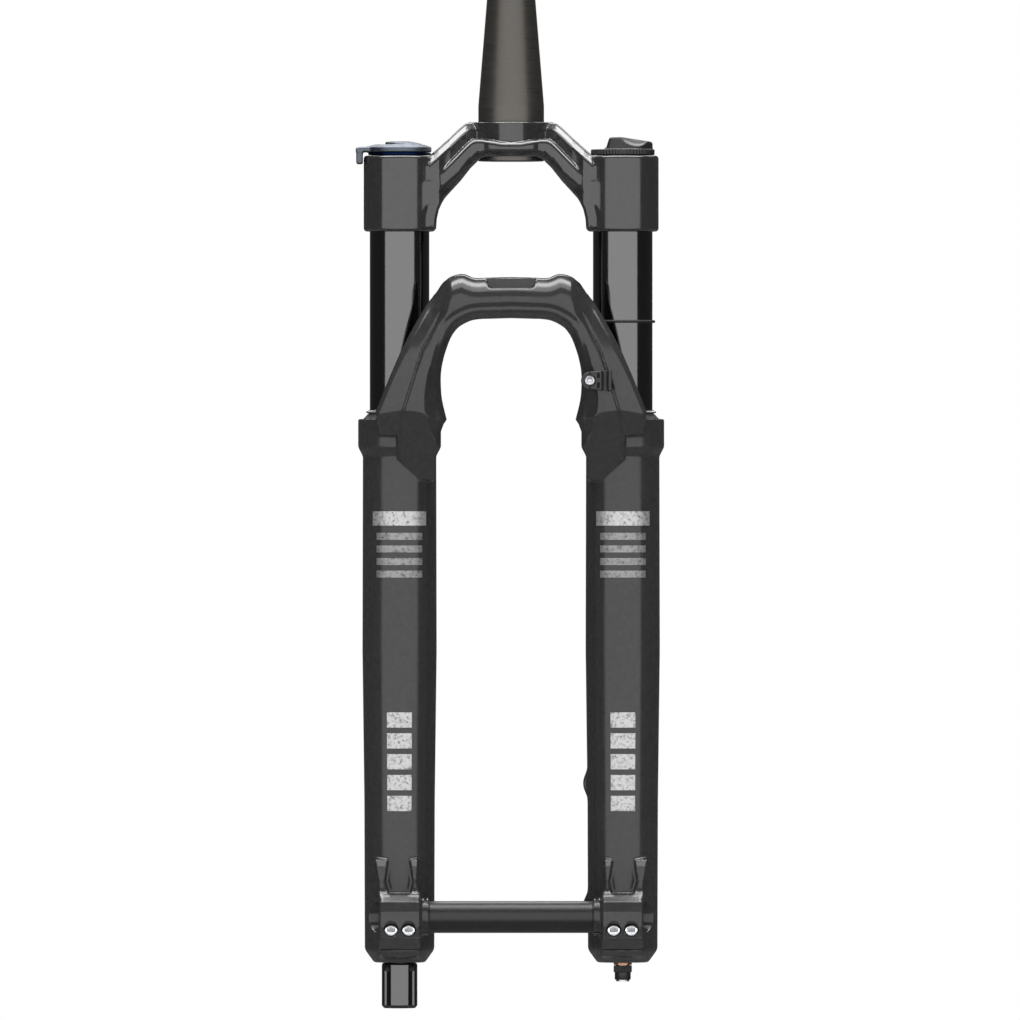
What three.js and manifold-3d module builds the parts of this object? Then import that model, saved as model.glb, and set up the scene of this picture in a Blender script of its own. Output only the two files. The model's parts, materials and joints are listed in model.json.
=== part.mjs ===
// Suspension fork for a dirt-jump bicycle: tapered steerer, forged crown, two sliding stanchions and
// a one-piece lower casting whose arch runs in front, with an air spring in one leg and a damper in
// the other.
//
// Units are millimetres. The origin is on the steerer axis at the crown race seat. +Z is up along
// the steerer, the front of the fork faces -Y, and +X is the rider's left: the air-spring leg, which
// also carries the brake. The fork is at full extension.

import * as THREE from 'three';
import { mergeVertices } from 'three/addons/utils/BufferGeometryUtils.js';
import Module from 'manifold-3d';

const wasm = await Module();
wasm.setup();

// ---------------------------------------------------------------------------------------------
// Driving sizes
// ---------------------------------------------------------------------------------------------

const LEG_SPACING = 135; // between the two leg axes
const TRAVEL = 100;
const AXLE_TO_CROWN = 480.5; // race seat down to the axle, at full extension
const CROWN_OFFSET = 17; // leg axes ahead of the steerer axis
const AXLE_OFFSET = 20; // axle ahead of the leg axes

const STEERER_BASE_OD = 39.8;
const STEERER_TOP_OD = 28.6;
const STEERER_LENGTH = 200; // above the race seat
const STEERER_WALL = 2.6;
const STEERER_BASE_WALL = 4;
const STEERER_BASE_LENGTH = 10; // straight part above the race seat
const STEERER_TAPER_LENGTH = 69;
const STEERER_PRESS = 3.2; // how far its foot shows below the tops of the bosses

const STANCHION_OD = 36;
const STANCHION_WALL = 2;
const STANCHION_INSET = 0.5; // stanchion's top below the top of its boss

const RACE_LAND = 4.9; // flat ring round the steerer that the headset race sits on
const CROWN_DEPTH = 20.3; // race seat down to the tops of the stanchion bosses
const BOSS_WALL = 3.7;
const BOSS_HEIGHT = 46;
const CROWN_ARM_SETBACK = 4; // arm sides inside the boss's round
const CROWN_POCKET = { depth: 5, below: 3, wall: 3, height: 10 };
const COUNTERBORE_GAP = 0.5; // round the lever disc and the valve cap

const LEG_WALL = 2.7;
const LEG_TAPER = 1.2; // leg's radius at the foot, less than at the head
const HEAD_WALL = 2.75; // round the wiper seal
const HEAD_HEIGHT = 15.8;
const HEAD_NECK = 7.8;
const HEAD_BORE_DEPTH = 14.6; // for the wiper seal and the foam ring below it
const SEAL_POCKET_WALL = 2.8; // wiper seal's bore outside the bushings' bore
const FOOT_DEPTH = 27.8; // axle down to the foot face
const FOOT_CHAMFER = 7.8;
const FOOT_FACE_OD = 30.8;
const FOOT_WALL = 8;
const FOOT_BORE_GAP = 3.2; // round the shaft, below the bore's floor
const BORE_FLOOR_WALL = 6; // above the axle

const ARCH_RISE = 85.7; // seal heads up to the top of the arch
const ARCH_BAND = 24.9; // height of the arch over the wheel
const ARCH_THICKNESS = 16;
const ARCH_CLEARANCE = 1.3; // arch to the crown bosses that it passes

const AXLE_OD = 20;
const AXLE_WALL = 2.5;
const CLAMP_WIDTH = 24.9; // pinch clamp, along the axle
const CLAMP_INSET = 12.1; // its outer face beyond the leg axis
const CLAMP_WALL = 4.1;
const HUB_RING_LENGTH = 4.8;
const HUB_RING_WALL = 1.5;
const SLOT_WIDTH = 1.5;

const PINCH_TILT = 35; // degrees above level that the pinch bolts' heads face
const PINCH_OFFSET = 7; // bolt axes outside the axle's surface
const PINCH_HEAD_RISE = 11.3; // slot to the top of the head
const PINCH_SPACING = 10.6;
const PINCH_BOLT = { shank: 5, length: 16, head: 7.8, headHeight: 5, hex: 4, hexDepth: 2.5 };

const POST_SPACING = 74;
const POST_RISE = 6.5; // lower post above the axle
const POST_SETBACK = 46; // post faces behind the axle
const POST_INBOARD = 15.9; // post axes inboard of the leg axis
const POST_OD = 15.8;
const POST_THREAD = 5;
const POST_THREAD_DEPTH = 12;

const SHAFT_OD = 10;
const SHAFT_BORE = 6;
const STUD_OD = 8; // threaded end of a shaft, through the foot
const BUSHING_WALL = 0.9;
const BUSHING_HEIGHT = 15;
const LOWER_BUSHING_RISE = 8; // above the stanchion's end at full extension
const FOAM_HEIGHT = 5.5;
const WIPER_HEIGHT = 5;
const BOTTOM_OUT_GAP = 8.4; // wiper to crown boss, left over at full travel
const BUMPER_HEIGHT = 8;
const BUMPER_SPARE = 4; // bumper to stanchion, left over at full travel
const PISTON_HEIGHT = 12;
const SEAL_HEAD_HEIGHT = 14;
const RING_HEIGHT = 1.6;
const RING_INSET = 0.5; // retaining ring above the stanchion's end
const TOP_CAP_DEPTH = 20;
const TOP_CAP_FLANGE = 1.4; // damper's cap, on its boss
const AIR_CAP_FLANGE = 1.6;
const CONTROL_RIM = 1.3; // lever disc and valve cap, out beyond the stanchion
const CONTROL_ROD_OD = 6;
const REBOUND_ROD_OD = 4.8;
const DAMPER_TUBE_WALL = 1.5;
const DAMPER_TUBE_GAP = 2;
const FLOATING_PISTON_RISE = 26; // floating piston above the base valve at rest
const RING_ABOVE_WIPER = 54; // travel o-ring

const KNOB_OD = 21.5;
const KNOB_HEIGHT = 27.7;
const FOOT_NUT = { acrossFlats: 11, height: 4.2, collar: 9.7, collarHeight: 4.5 };
const FOOT_STUD = 11.5; // air shaft's end below the foot face
const WASHER_HEIGHT = 1.2;
const PISTON_GROOVE = { bottom: 4, top: 8, depth: 2.5 };

const GAP = 0.3; // left between pieces that touch
const RUNNING_GAP = 0.3; // left round pieces that slide or turn
const PAST = 1; // how far a cutting shape runs out past the face that it opens

// ---------------------------------------------------------------------------------------------
// Places worked out from the driving sizes
// ---------------------------------------------------------------------------------------------

const LEG_X = LEG_SPACING / 2;
const STANCHION_R = STANCHION_OD / 2;
const STANCHION_BORE_R = STANCHION_R - STANCHION_WALL;
const CONTROL_R = STANCHION_R + CONTROL_RIM;
const BOSS_R = STANCHION_R + BOSS_WALL;
const ARM_END_R = BOSS_R - CROWN_ARM_SETBACK; // half the arm's depth where it meets the boss
const BORE_R = STANCHION_R + RUNNING_GAP + BUSHING_WALL + GAP; // casting's bore round the bushings
const LEG_R = BORE_R + LEG_WALL;
const HEAD_BORE_R = BORE_R + SEAL_POCKET_WALL;
const HEAD_R = HEAD_BORE_R + HEAD_WALL;
const FOOT_R = LEG_R - LEG_TAPER;
const AXLE_R = AXLE_OD / 2;
const AXLE_BORE_R = AXLE_R + RUNNING_GAP;
const SHAFT_R = SHAFT_OD / 2;
const STUD_R = STUD_OD / 2;
const FIT_R = STANCHION_BORE_R - GAP; // pieces held inside a stanchion
const DAMPER_TUBE_R = STANCHION_BORE_R - DAMPER_TUBE_GAP;
const DAMPER_FIT_R = DAMPER_TUBE_R - DAMPER_TUBE_WALL - GAP;

const STEERER_BOTTOM = -CROWN_DEPTH - STEERER_PRESS;
const BOSS_TOP = -CROWN_DEPTH;
const BOSS_BOTTOM = BOSS_TOP - BOSS_HEIGHT;
const WIPER_TOP = BOSS_BOTTOM - BOTTOM_OUT_GAP - TRAVEL;
const HEAD_TOP = WIPER_TOP - WIPER_HEIGHT;
const AXLE_Z = -AXLE_TO_CROWN;
const AXLE_LOCAL_Y = -AXLE_OFFSET; // in a leg's own frame
const FOOT_Z = AXLE_Z - FOOT_DEPTH;
const BORE_FLOOR = AXLE_Z + AXLE_R + BORE_FLOOR_WALL;
const STANCHION_BOTTOM = BORE_FLOOR + BUMPER_HEIGHT + TRAVEL + BUMPER_SPARE;
const STANCHION_TOP = BOSS_TOP - STANCHION_INSET;

const RING_BOTTOM = STANCHION_BOTTOM + RING_INSET;
const SEAL_BOTTOM = RING_BOTTOM + RING_HEIGHT + GAP;
const SEAL_TOP = SEAL_BOTTOM + SEAL_HEAD_HEIGHT;
const PISTON_BOTTOM = SEAL_TOP + BUMPER_HEIGHT;
const PISTON_TOP = PISTON_BOTTOM + PISTON_HEIGHT;
const CAP_BOTTOM = BOSS_TOP + GAP - TOP_CAP_DEPTH;
// What the damper's pieces leave free at full travel: half is under the base valve, and half is
// for the spring.
const DAMPER_SPARE = CAP_BOTTOM - PISTON_TOP - TRAVEL - 2 * PISTON_HEIGHT - FLOATING_PISTON_RISE;
const VALVE_BOTTOM = PISTON_TOP + TRAVEL + DAMPER_SPARE / 2;
const VALVE_TOP = VALVE_BOTTOM + PISTON_HEIGHT;
const FLOATING_BOTTOM = VALVE_TOP + FLOATING_PISTON_RISE;
const FLOATING_TOP = FLOATING_BOTTOM + PISTON_HEIGHT;

const ARCH_BACK = -BOSS_R - ARCH_CLEARANCE; // in a leg's own frame, as the next one
const ARCH_FRONT = ARCH_BACK - ARCH_THICKNESS;

// ---------------------------------------------------------------------------------------------
// Finishes
// ---------------------------------------------------------------------------------------------

const finish = (color, roughness, metalness) =>
  new THREE.MeshStandardMaterial({ color, roughness, metalness });

const GLOSS_BLACK = finish(0x17181a, 0.18, 0.1);
const SATIN_BLACK = finish(0x1d1e20, 0.4, 0.2);
const ANODISED_BLACK = finish(0x0e0e10, 0.2, 0.6);
const BRUSHED_DARK = finish(0x5a5854, 0.4, 0.9);
const SILVER_BLUE = finish(0x8d99a8, 0.3, 0.9);
const BLUE = finish(0x2c5f9e, 0.3, 0.9);
const ALUMINIUM = finish(0xb9bcc0, 0.35, 0.9);
const STEEL = finish(0xc9ccd0, 0.25, 1);
const SPRING_STEEL = finish(0x8d9095, 0.35, 1);
const COPPER = finish(0xb0704a, 0.35, 1);
const BRASS = finish(0xc9a45c, 0.3, 1);
const RUBBER = finish(0x121212, 0.8, 0);
const FOAM = finish(0x2a2a28, 0.95, 0);
const BUSHING = finish(0x6f6a5c, 0.5, 0.2);
const PLASTIC_BLACK = finish(0x151515, 0.45, 0);
const PLASTIC_ORANGE = finish(0xc8642a, 0.5, 0);

// ---------------------------------------------------------------------------------------------
// Shapes
// ---------------------------------------------------------------------------------------------

const LARGE = 32; // sides of the big round pieces
const ROUND = 20;
const SMALL = 12;
const CURVE_STEPS = 8; // to each arc of a drawn outline

// Turns a closed outline of [radius, height] points about +Z.
function turned(outline, sides = ROUND) {
  const points = outline.map(([radius, height]) => new THREE.Vector2(radius, height));
  if (THREE.ShapeUtils.area(points) < 0) points.reverse();
  points.push(points[0].clone());
  return new THREE.LatheGeometry(points, sides).rotateX(Math.PI / 2);
}

function tube(outerR, innerR, bottom, top, sides = ROUND) {
  return turned([[innerR, bottom], [outerR, bottom], [outerR, top], [innerR, top]], sides);
}

function rod(radius, bottom, top, sides = ROUND) {
  const rim = [[0, bottom], [radius, bottom], [radius, top], [0, top]];
  const points = rim.map(([r, z]) => new THREE.Vector2(r, z));
  return new THREE.LatheGeometry(points, sides).rotateX(Math.PI / 2);
}

// Extrudes a Shape, or an outline of points, and lays its two drawing axes along two of X, Y, Z.
function extruded(outline, length, drawX, drawY) {
  const shape = Array.isArray(outline)
    ? new THREE.Shape(outline.map(([u, v]) => new THREE.Vector2(u, v)))
    : outline;
  const options = { depth: length, bevelEnabled: false, curveSegments: CURVE_STEPS };
  const geometry = new THREE.ExtrudeGeometry(shape, options);
  const along = new THREE.Vector3().crossVectors(drawX, drawY);
  return geometry.applyMatrix4(new THREE.Matrix4().makeBasis(drawX, drawY, along));
}

const X = new THREE.Vector3(1, 0, 0);
const Y = new THREE.Vector3(0, 1, 0);
const Z = new THREE.Vector3(0, 0, 1);

// Outline of [x, z] points, from back to front along Y.
const frontPrism = (outline, back, front) => extruded(outline, back - front, X, Z).translate(0, back, 0);

// Outline of [y, z] points, between two places along X.
const sidePrism = (outline, from, to) => extruded(outline, to - from, Y, Z).translate(from, 0, 0);

// Outline of [x, y] points, between two heights.
const planPrism = (outline, bottom, top) =>
  extruded(outline, top - bottom, X, Y).translate(0, 0, bottom);

const acrossCorners = (acrossFlats, sides = 6) => acrossFlats / Math.cos(Math.PI / sides);

function regularPolygon(acrossFlats, sides = 6, turn = 0) {
  const radius = acrossCorners(acrossFlats, sides) / 2;
  return Array.from({ length: sides }, (_, i) => {
    const angle = turn + (2 * Math.PI * i) / sides;
    return [radius * Math.cos(angle), radius * Math.sin(angle)];
  });
}

const alongX = (geometry) => geometry.rotateY(Math.PI / 2);
const alongMinusY = (geometry) => geometry.rotateX(Math.PI / 2);

// ---------------------------------------------------------------------------------------------
// Joining and cutting
// ---------------------------------------------------------------------------------------------

function toManifold(geometry) {
  const bare = geometry.clone();
  bare.deleteAttribute('normal');
  bare.deleteAttribute('uv');
  const merged = mergeVertices(bare, 1e-4);
  const mesh = new wasm.Mesh({
    numProp: 3,
    vertProperties: new Float32Array(merged.attributes.position.array),
    triVerts: new Uint32Array(merged.index.array),
  });
  mesh.merge();
  return new wasm.Manifold(mesh);
}

function toGeometry(manifold) {
  const mesh = manifold.getMesh();
  const geometry = new THREE.BufferGeometry();
  geometry.setAttribute('position', new THREE.BufferAttribute(mesh.vertProperties, 3));
  geometry.setIndex(new THREE.BufferAttribute(mesh.triVerts, 1));
  geometry.computeVertexNormals();
  return geometry;
}

const joined = (geometries) => geometries.map(toManifold).reduce((sum, next) => sum.add(next));
const cut = (base, cutters) => cutters.reduce((rest, next) => rest.subtract(toManifold(next)), base);

// ---------------------------------------------------------------------------------------------
// Uppers: steerer, crown and stanchions
// ---------------------------------------------------------------------------------------------

function steererTube() {
  const baseR = STEERER_BASE_OD / 2;
  const topR = STEERER_TOP_OD / 2;
  const taperEnd = STEERER_BASE_LENGTH + STEERER_TAPER_LENGTH;
  return turned([
    [baseR, STEERER_BOTTOM],
    [baseR, STEERER_BASE_LENGTH],
    [topR, taperEnd],
    [topR, STEERER_LENGTH],
    [topR - STEERER_WALL, STEERER_LENGTH],
    [topR - STEERER_WALL, taperEnd],
    [baseR - STEERER_BASE_WALL, STEERER_BASE_LENGTH],
    [baseR - STEERER_BASE_WALL, STEERER_BOTTOM],
  ], LARGE);
}

// One side's half of an outline, followed by its mirror image.
const mirroredOutline = (half) => [...half, ...half.map(([u, v]) => [-u, v]).reverse()];

function crownArmOutline() {
  const inner = LEG_X - BOSS_R;
  return mirroredOutline([
    [STEERER_BASE_OD / 2 + RACE_LAND, 0],
    [inner + 0.8, BOSS_TOP + 2.2],
    [inner + 3.2, BOSS_TOP],
    [LEG_X, BOSS_TOP],
    [LEG_X, BOSS_BOTTOM + 8],
    [inner, BOSS_BOTTOM + 8],
    [inner - 1.6, BOSS_BOTTOM + 13.6],
    [inner - 3.5, BOSS_BOTTOM + 17.8],
    [inner - 7.1, BOSS_BOTTOM + 22.9],
    [STEERER_BASE_OD / 2 + 1.9, BOSS_TOP - 4.4],
    [STEERER_BASE_OD / 2 - 1.1, BOSS_TOP],
  ]);
}

// The arm seen from above: straight sides from the barrel round the steerer to the boss.
function crownArmPlan(barrelR) {
  const length = Math.hypot(LEG_X, CROWN_OFFSET);
  const [sideX, sideY] = [CROWN_OFFSET / length, LEG_X / length];
  return [
    [-sideX * barrelR, -sideY * barrelR],
    [LEG_X - sideX * ARM_END_R, -CROWN_OFFSET - sideY * ARM_END_R],
    [LEG_X + sideX * ARM_END_R, -CROWN_OFFSET + sideY * ARM_END_R],
    [sideX * barrelR, sideY * barrelR],
  ];
}

// Long recess in the front of an arm, between its top ridge and its lower flange. It follows the
// arm's fall from the barrel to the boss, and gets a little taller on the way.
function crownPocket(barrelR, side) {
  const { depth, below, wall, height } = CROWN_POCKET;
  const [fromX, toX] = [barrelR + wall, LEG_X - BOSS_R + wall];
  const [fromZ, toZ] = [-2 * below, BOSS_TOP - 2 * below];
  const outline = [
    [side * fromX, fromZ],
    [side * toX, toZ],
    [side * toX, toZ - height],
    [side * fromX, fromZ - height / 2],
  ];
  const frontAtBoss = -CROWN_OFFSET - ARM_END_R;
  const slope = Math.atan2(CROWN_OFFSET + ARM_END_R - barrelR, LEG_X);
  return frontPrism(outline, 0, 2 * frontAtBoss)
    .rotateZ(-side * slope)
    .translate(0, frontAtBoss + LEG_X * Math.tan(slope) + depth, 0);
}

function crown() {
  const barrelR = STEERER_BASE_OD / 2 + RACE_LAND;
  const plan = crownArmPlan(barrelR);
  const arms = joined([
    planPrism(plan, BOSS_BOTTOM, 0),
    planPrism(plan.map(([x, y]) => [-x, y]), BOSS_BOTTOM, 0),
    rod(barrelR, BOSS_BOTTOM, 0, LARGE),
  ]).intersect(toManifold(frontPrism(crownArmOutline(), 2 * BOSS_R, -2 * BOSS_R - CROWN_OFFSET)));
  const bosses = [-LEG_X, LEG_X].map((x) => toManifold(
    rod(BOSS_R, BOSS_BOTTOM, BOSS_TOP, LARGE).translate(x, -CROWN_OFFSET, 0),
  ));
  const body = bosses.reduce((sum, boss) => sum.add(boss), arms);
  const legBore = () => turned([
    [0, BOSS_BOTTOM - PAST],
    [STANCHION_R + GAP, BOSS_BOTTOM - PAST],
    [STANCHION_R + GAP, BOSS_TOP],
    [CONTROL_R + COUNTERBORE_GAP, BOSS_TOP],
    [CONTROL_R + COUNTERBORE_GAP, PAST],
    [0, PAST],
  ], LARGE);
  const bores = [
    rod(STEERER_BASE_OD / 2 + GAP, STEERER_BOTTOM - PAST, PAST, LARGE),
    ...[-LEG_X, LEG_X].map((x) => legBore().translate(x, -CROWN_OFFSET, 0)),
  ];
  return toGeometry(cut(body, [...bores, crownPocket(barrelR, -1), crownPocket(barrelR, 1)]));
}

const stanchion = () => tube(STANCHION_R, STANCHION_BORE_R, STANCHION_BOTTOM, STANCHION_TOP, LARGE);

// ---------------------------------------------------------------------------------------------
// Lower casting. Leg pieces are drawn about the leg's own axis.
// ---------------------------------------------------------------------------------------------

function legBody() {
  const neckBottom = HEAD_TOP - HEAD_HEIGHT - HEAD_NECK;
  const length = neckBottom - FOOT_Z;
  return turned([
    [0, FOOT_Z],
    [FOOT_FACE_OD / 2, FOOT_Z],
    [FOOT_R, FOOT_Z + FOOT_CHAMFER],
    [FOOT_R + 0.3, FOOT_Z + 0.32 * length],
    [LEG_R + 0.25, FOOT_Z + 0.62 * length],
    [LEG_R, neckBottom],
    [HEAD_R, HEAD_TOP - HEAD_HEIGHT],
    [HEAD_R, HEAD_TOP],
    [0, HEAD_TOP],
  ], LARGE);
}

function legBores() {
  const throat = STUD_R + GAP;
  return turned([
    [0, FOOT_Z - PAST],
    [throat, FOOT_Z - PAST],
    [throat, FOOT_Z + FOOT_WALL],
    [SHAFT_R + FOOT_BORE_GAP, FOOT_Z + FOOT_WALL],
    [SHAFT_R + FOOT_BORE_GAP, BORE_FLOOR],
    [BORE_R, BORE_FLOOR],
    [BORE_R, HEAD_TOP - HEAD_BORE_DEPTH],
    [HEAD_BORE_R, HEAD_TOP - HEAD_BORE_DEPTH],
    [HEAD_BORE_R, HEAD_TOP + PAST],
    [0, HEAD_TOP + PAST],
  ], LARGE);
}

// The arch seen from the front: from its middle, out along its top, down the outside of the leg,
// back up the inside and under the middle.
function archOutline() {
  const top = HEAD_TOP + ARCH_RISE;
  const under = top - ARCH_BAND;
  const inner = LEG_X - HEAD_R;
  return mirroredOutline([
    [LEG_X - 48.5, top - 0.6],
    [LEG_X - 42.5, top + 0.6],
    [LEG_X - 39, top + 1.8],
    [LEG_X - 33.5, top + 1.1],
    [LEG_X - 27, top - 2.3],
    [LEG_X - 20.9, top - 9.2],
    [LEG_X + 14.2, HEAD_TOP + 4.2],
    [LEG_X + 12.4, HEAD_TOP - 15],
    [LEG_X + 5.5, HEAD_TOP - 28],
    [LEG_X - 14, HEAD_TOP - 36],
    [inner + 2, HEAD_TOP - 20],
    [inner + 0.1, HEAD_TOP - 6.7],
    [inner - 3.4, HEAD_TOP + 0.1],
    [inner - 0.7, HEAD_TOP + 11.4],
    [inner, HEAD_TOP + 24],
    [inner - 0.6, HEAD_TOP + 32],
    [inner - 2.3, HEAD_TOP + 38],
    [inner - 5.5, under - 12.8],
    [inner - 11.5, under - 4.9],
    [inner - 17.6, under - 1.7],
    [inner - 25, under - 0.5],
  ]);
}

// The arch seen from the side, as [y, z]: upright over the wheel, and running back into the fronts
// of the legs below the seal heads.
const archSide = () => [
  [ARCH_BACK, HEAD_TOP + ARCH_RISE + 5],
  [ARCH_BACK, HEAD_TOP - 0.5],
  [-STANCHION_R / 2, HEAD_TOP - 0.5],
  [-STANCHION_R / 2, HEAD_TOP - 40],
  [-LEG_R + 1, HEAD_TOP - 40],
  [ARCH_FRONT + 6, HEAD_TOP - 4],
  [ARCH_FRONT, HEAD_TOP + 30],
  [ARCH_FRONT, HEAD_TOP + ARCH_RISE + 5],
];

const arch = () => toGeometry(
  toManifold(frontPrism(archOutline(), 0, ARCH_FRONT - 5))
    .intersect(toManifold(sidePrism(archSide(), -2 * LEG_X, 2 * LEG_X))),
).translate(0, -CROWN_OFFSET, 0);

// The pinch clamp seen from the side, as [forward, up] from the axle, and round the axle's bore.
function clampOutline() {
  const r = AXLE_R + CLAMP_WALL;
  const behind = AXLE_OFFSET - SHAFT_R - 4;
  return [
    [-behind, r],
    [4, r],
    [9.5, r - 4.6],
    [r + 0.4, r - 10.4],
    [r + 4.4, r - 14],
    [r + 4.4, -6],
    [r + 3.4, -13.2],
    [r - 0.6, -19.4],
    [r - 4.6, -23.3],
    [0, -FOOT_DEPTH + 3],
    [-behind, -FOOT_DEPTH + 3],
  ].map(([forward, up]) => [AXLE_LOCAL_Y - forward, AXLE_Z + up]);
}

// In from the clamp's outer face; side is +1 where outboard is +X.
function clampSpan(side) {
  const ends = [side * CLAMP_INSET, side * (CLAMP_INSET - CLAMP_WIDTH)];
  return [Math.min(...ends), Math.max(...ends)];
}

// Two ribs that carry the clamp up into the front of the leg.
function clampRibs(side) {
  const [from, to] = clampSpan(side);
  const ribTop = AXLE_Z + 52;
  const ribBottom = AXLE_Z + AXLE_R + CLAMP_WALL - 1;
  const outline = [
    [-FOOT_R + 8, ribTop],
    [-FOOT_R - 1.5, ribTop - 4],
    [AXLE_LOCAL_Y - 4, ribBottom],
    [-FOOT_R + 8, ribBottom],
  ];
  return [sidePrism(outline, from + 1, from + 6), sidePrism(outline, to - 6, to - 1)];
}

function hubRing(side) {
  const inner = CLAMP_INSET - CLAMP_WIDTH;
  const from = side * (inner - HUB_RING_LENGTH);
  const to = side * (inner + 1);
  return alongX(rod(AXLE_BORE_R + HUB_RING_WALL, Math.min(from, to), Math.max(from, to)))
    .translate(0, AXLE_LOCAL_Y, AXLE_Z);
}

// Direction in which a pinch bolt's head faces, and the direction of the slot, as [y, z].
const tilt = THREE.MathUtils.degToRad(PINCH_TILT);
const HEAD_WAY = [-Math.cos(tilt), Math.sin(tilt)];
const SLOT_WAY = [-Math.sin(tilt), -Math.cos(tilt)];

function clampSlot(side) {
  const [from, to] = clampSpan(side);
  const length = AXLE_R + CLAMP_WALL + 18;
  const corner = (along, across) => [
    AXLE_LOCAL_Y + SLOT_WAY[0] * along + HEAD_WAY[0] * across,
    AXLE_Z + SLOT_WAY[1] * along + HEAD_WAY[1] * across,
  ];
  const half = SLOT_WIDTH / 2;
  const outline = [corner(0, -half), corner(length, -half), corner(length, half), corner(0, half)];
  return sidePrism(outline, from - PAST, to + PAST);
}

// Turns a shape drawn along +Z so that +Z becomes the bolt's head direction, and moves its origin
// to the point where a pinch bolt's axis crosses the slot.
function onPinchAxis(object, x) {
  const offset = AXLE_R + PINCH_OFFSET;
  object.rotateX(Math.PI / 2 - tilt);
  const place = [x, AXLE_LOCAL_Y + SLOT_WAY[0] * offset, AXLE_Z + SLOT_WAY[1] * offset];
  if (object.isObject3D) object.position.set(...place);
  else object.translate(...place);
  return object;
}

function pinchPlaces(side) {
  const middle = side * (CLAMP_INSET - CLAMP_WIDTH / 2);
  return [middle - PINCH_SPACING / 2, middle + PINCH_SPACING / 2];
}

function pinchHoles(side) {
  const seat = PINCH_HEAD_RISE - PINCH_BOLT.headHeight - GAP;
  return pinchPlaces(side).flatMap((x) => [
    onPinchAxis(rod(PINCH_BOLT.shank / 2 + GAP, seat - PINCH_BOLT.length - PAST, seat + PAST, SMALL), x),
    onPinchAxis(rod(PINCH_BOLT.head / 2 + COUNTERBORE_GAP, seat, PINCH_HEAD_RISE + AXLE_OD, ROUND), x),
  ]);
}

// Post-mount bosses for the brake caliper, on the back of the air-spring leg.
const postHeights = () => [AXLE_Z + POST_RISE, AXLE_Z + POST_RISE + POST_SPACING];
const POST_FACE_Y = AXLE_LOCAL_Y + POST_SETBACK;

const brakePosts = () => postHeights().map((z) =>
  alongMinusY(rod(POST_OD / 2, -POST_FACE_Y, 4, ROUND)).translate(-POST_INBOARD, 0, z));

const brakePostThreads = () => postHeights().map((z) =>
  alongMinusY(rod(POST_THREAD / 2, -POST_FACE_Y - PAST, POST_THREAD_DEPTH - POST_FACE_Y, SMALL))
    .translate(-POST_INBOARD, 0, z));

function lowerCasting() {
  const sides = [-1, 1];
  const onLeg = (side, geometry) => geometry.translate(side * LEG_X, -CROWN_OFFSET, 0);
  const material = sides.flatMap((side) => [
    onLeg(side, legBody()),
    onLeg(side, sidePrism(clampOutline(), ...clampSpan(side))),
    ...clampRibs(side).map((rib) => onLeg(side, rib)),
    onLeg(side, hubRing(side)),
  ]);
  const posts = brakePosts().map((post) => onLeg(1, post));
  const removed = sides.flatMap((side) => [
    onLeg(side, legBores()),
    onLeg(side, clampSlot(side)),
    ...pinchHoles(side).map((hole) => onLeg(side, hole)),
  ]);
  const axleBore = alongX(rod(AXLE_BORE_R, -LEG_X - 40, LEG_X + 40, ROUND))
    .translate(0, AXLE_LOCAL_Y - CROWN_OFFSET, AXLE_Z);
  const threads = brakePostThreads().map((thread) => onLeg(1, thread));
  return toGeometry(cut(
    joined([...material, ...posts, arch()]),
    [...removed, axleBore, ...threads, guideBoltHole()],
  ));
}

// ---------------------------------------------------------------------------------------------
// Pieces fitted to the lower casting
// ---------------------------------------------------------------------------------------------

// Bolt with its head's top at the origin's height plus top, its shank pointing down.
function socketBolt({ shank, length, head, headHeight, hex, hexDepth }, top) {
  const seat = top - headHeight;
  const body = turned([
    [0, seat - length],
    [shank / 2 - 0.5, seat - length],
    [shank / 2, seat - length + 0.5],
    [shank / 2, seat],
    [head / 2, seat],
    [head / 2, top - 0.5],
    [head / 2 - 0.5, top],
    [0, top],
  ], SMALL);
  const socket = planPrism(regularPolygon(hex), top - hexDepth, top + PAST);
  return toGeometry(cut(toManifold(body), [socket]));
}

const AXLE_INSET = 0.6; // axle's end inside the clamp's outer face
const AXLE_PLUG = 14; // solid end that takes the hex key
const AXLE_SOCKET = { acrossFlats: 8, depth: 9 };

function axle() {
  const half = LEG_X + CLAMP_INSET - AXLE_INSET;
  const boreR = AXLE_R - AXLE_WALL;
  const body = turned([
    [0, -half],
    [AXLE_R - 1, -half],
    [AXLE_R, -half + 1],
    [AXLE_R, half - 1],
    [AXLE_R - 1, half],
    [boreR, half],
    [boreR, -half + AXLE_PLUG],
    [0, -half + AXLE_PLUG],
  ], ROUND);
  const hexagon = regularPolygon(AXLE_SOCKET.acrossFlats);
  const socket = planPrism(hexagon, -half - PAST, -half + AXLE_SOCKET.depth);
  return alongX(toGeometry(cut(toManifold(body), [socket])));
}

const BUSHING_R = STANCHION_R + RUNNING_GAP;
const bushing = (bottom) =>
  tube(BUSHING_R + BUSHING_WALL, BUSHING_R, bottom, bottom + BUSHING_HEIGHT, LARGE);

const upperBushing = () => bushing(HEAD_TOP - HEAD_BORE_DEPTH - 2 * GAP - BUSHING_HEIGHT);
const lowerBushing = () => bushing(STANCHION_BOTTOM + LOWER_BUSHING_RISE);

const FOAM_BOTTOM = HEAD_TOP - HEAD_BORE_DEPTH + GAP;
const LIP_R = STANCHION_R + RUNNING_GAP;
const LIP_WALL = 0.5;
const GARTER = { height: 1.5, wall: 0.75 };

const foamRing = () => tube(
  HEAD_BORE_R - GAP, LIP_R, FOAM_BOTTOM, FOAM_BOTTOM + FOAM_HEIGHT, LARGE,
);

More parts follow.
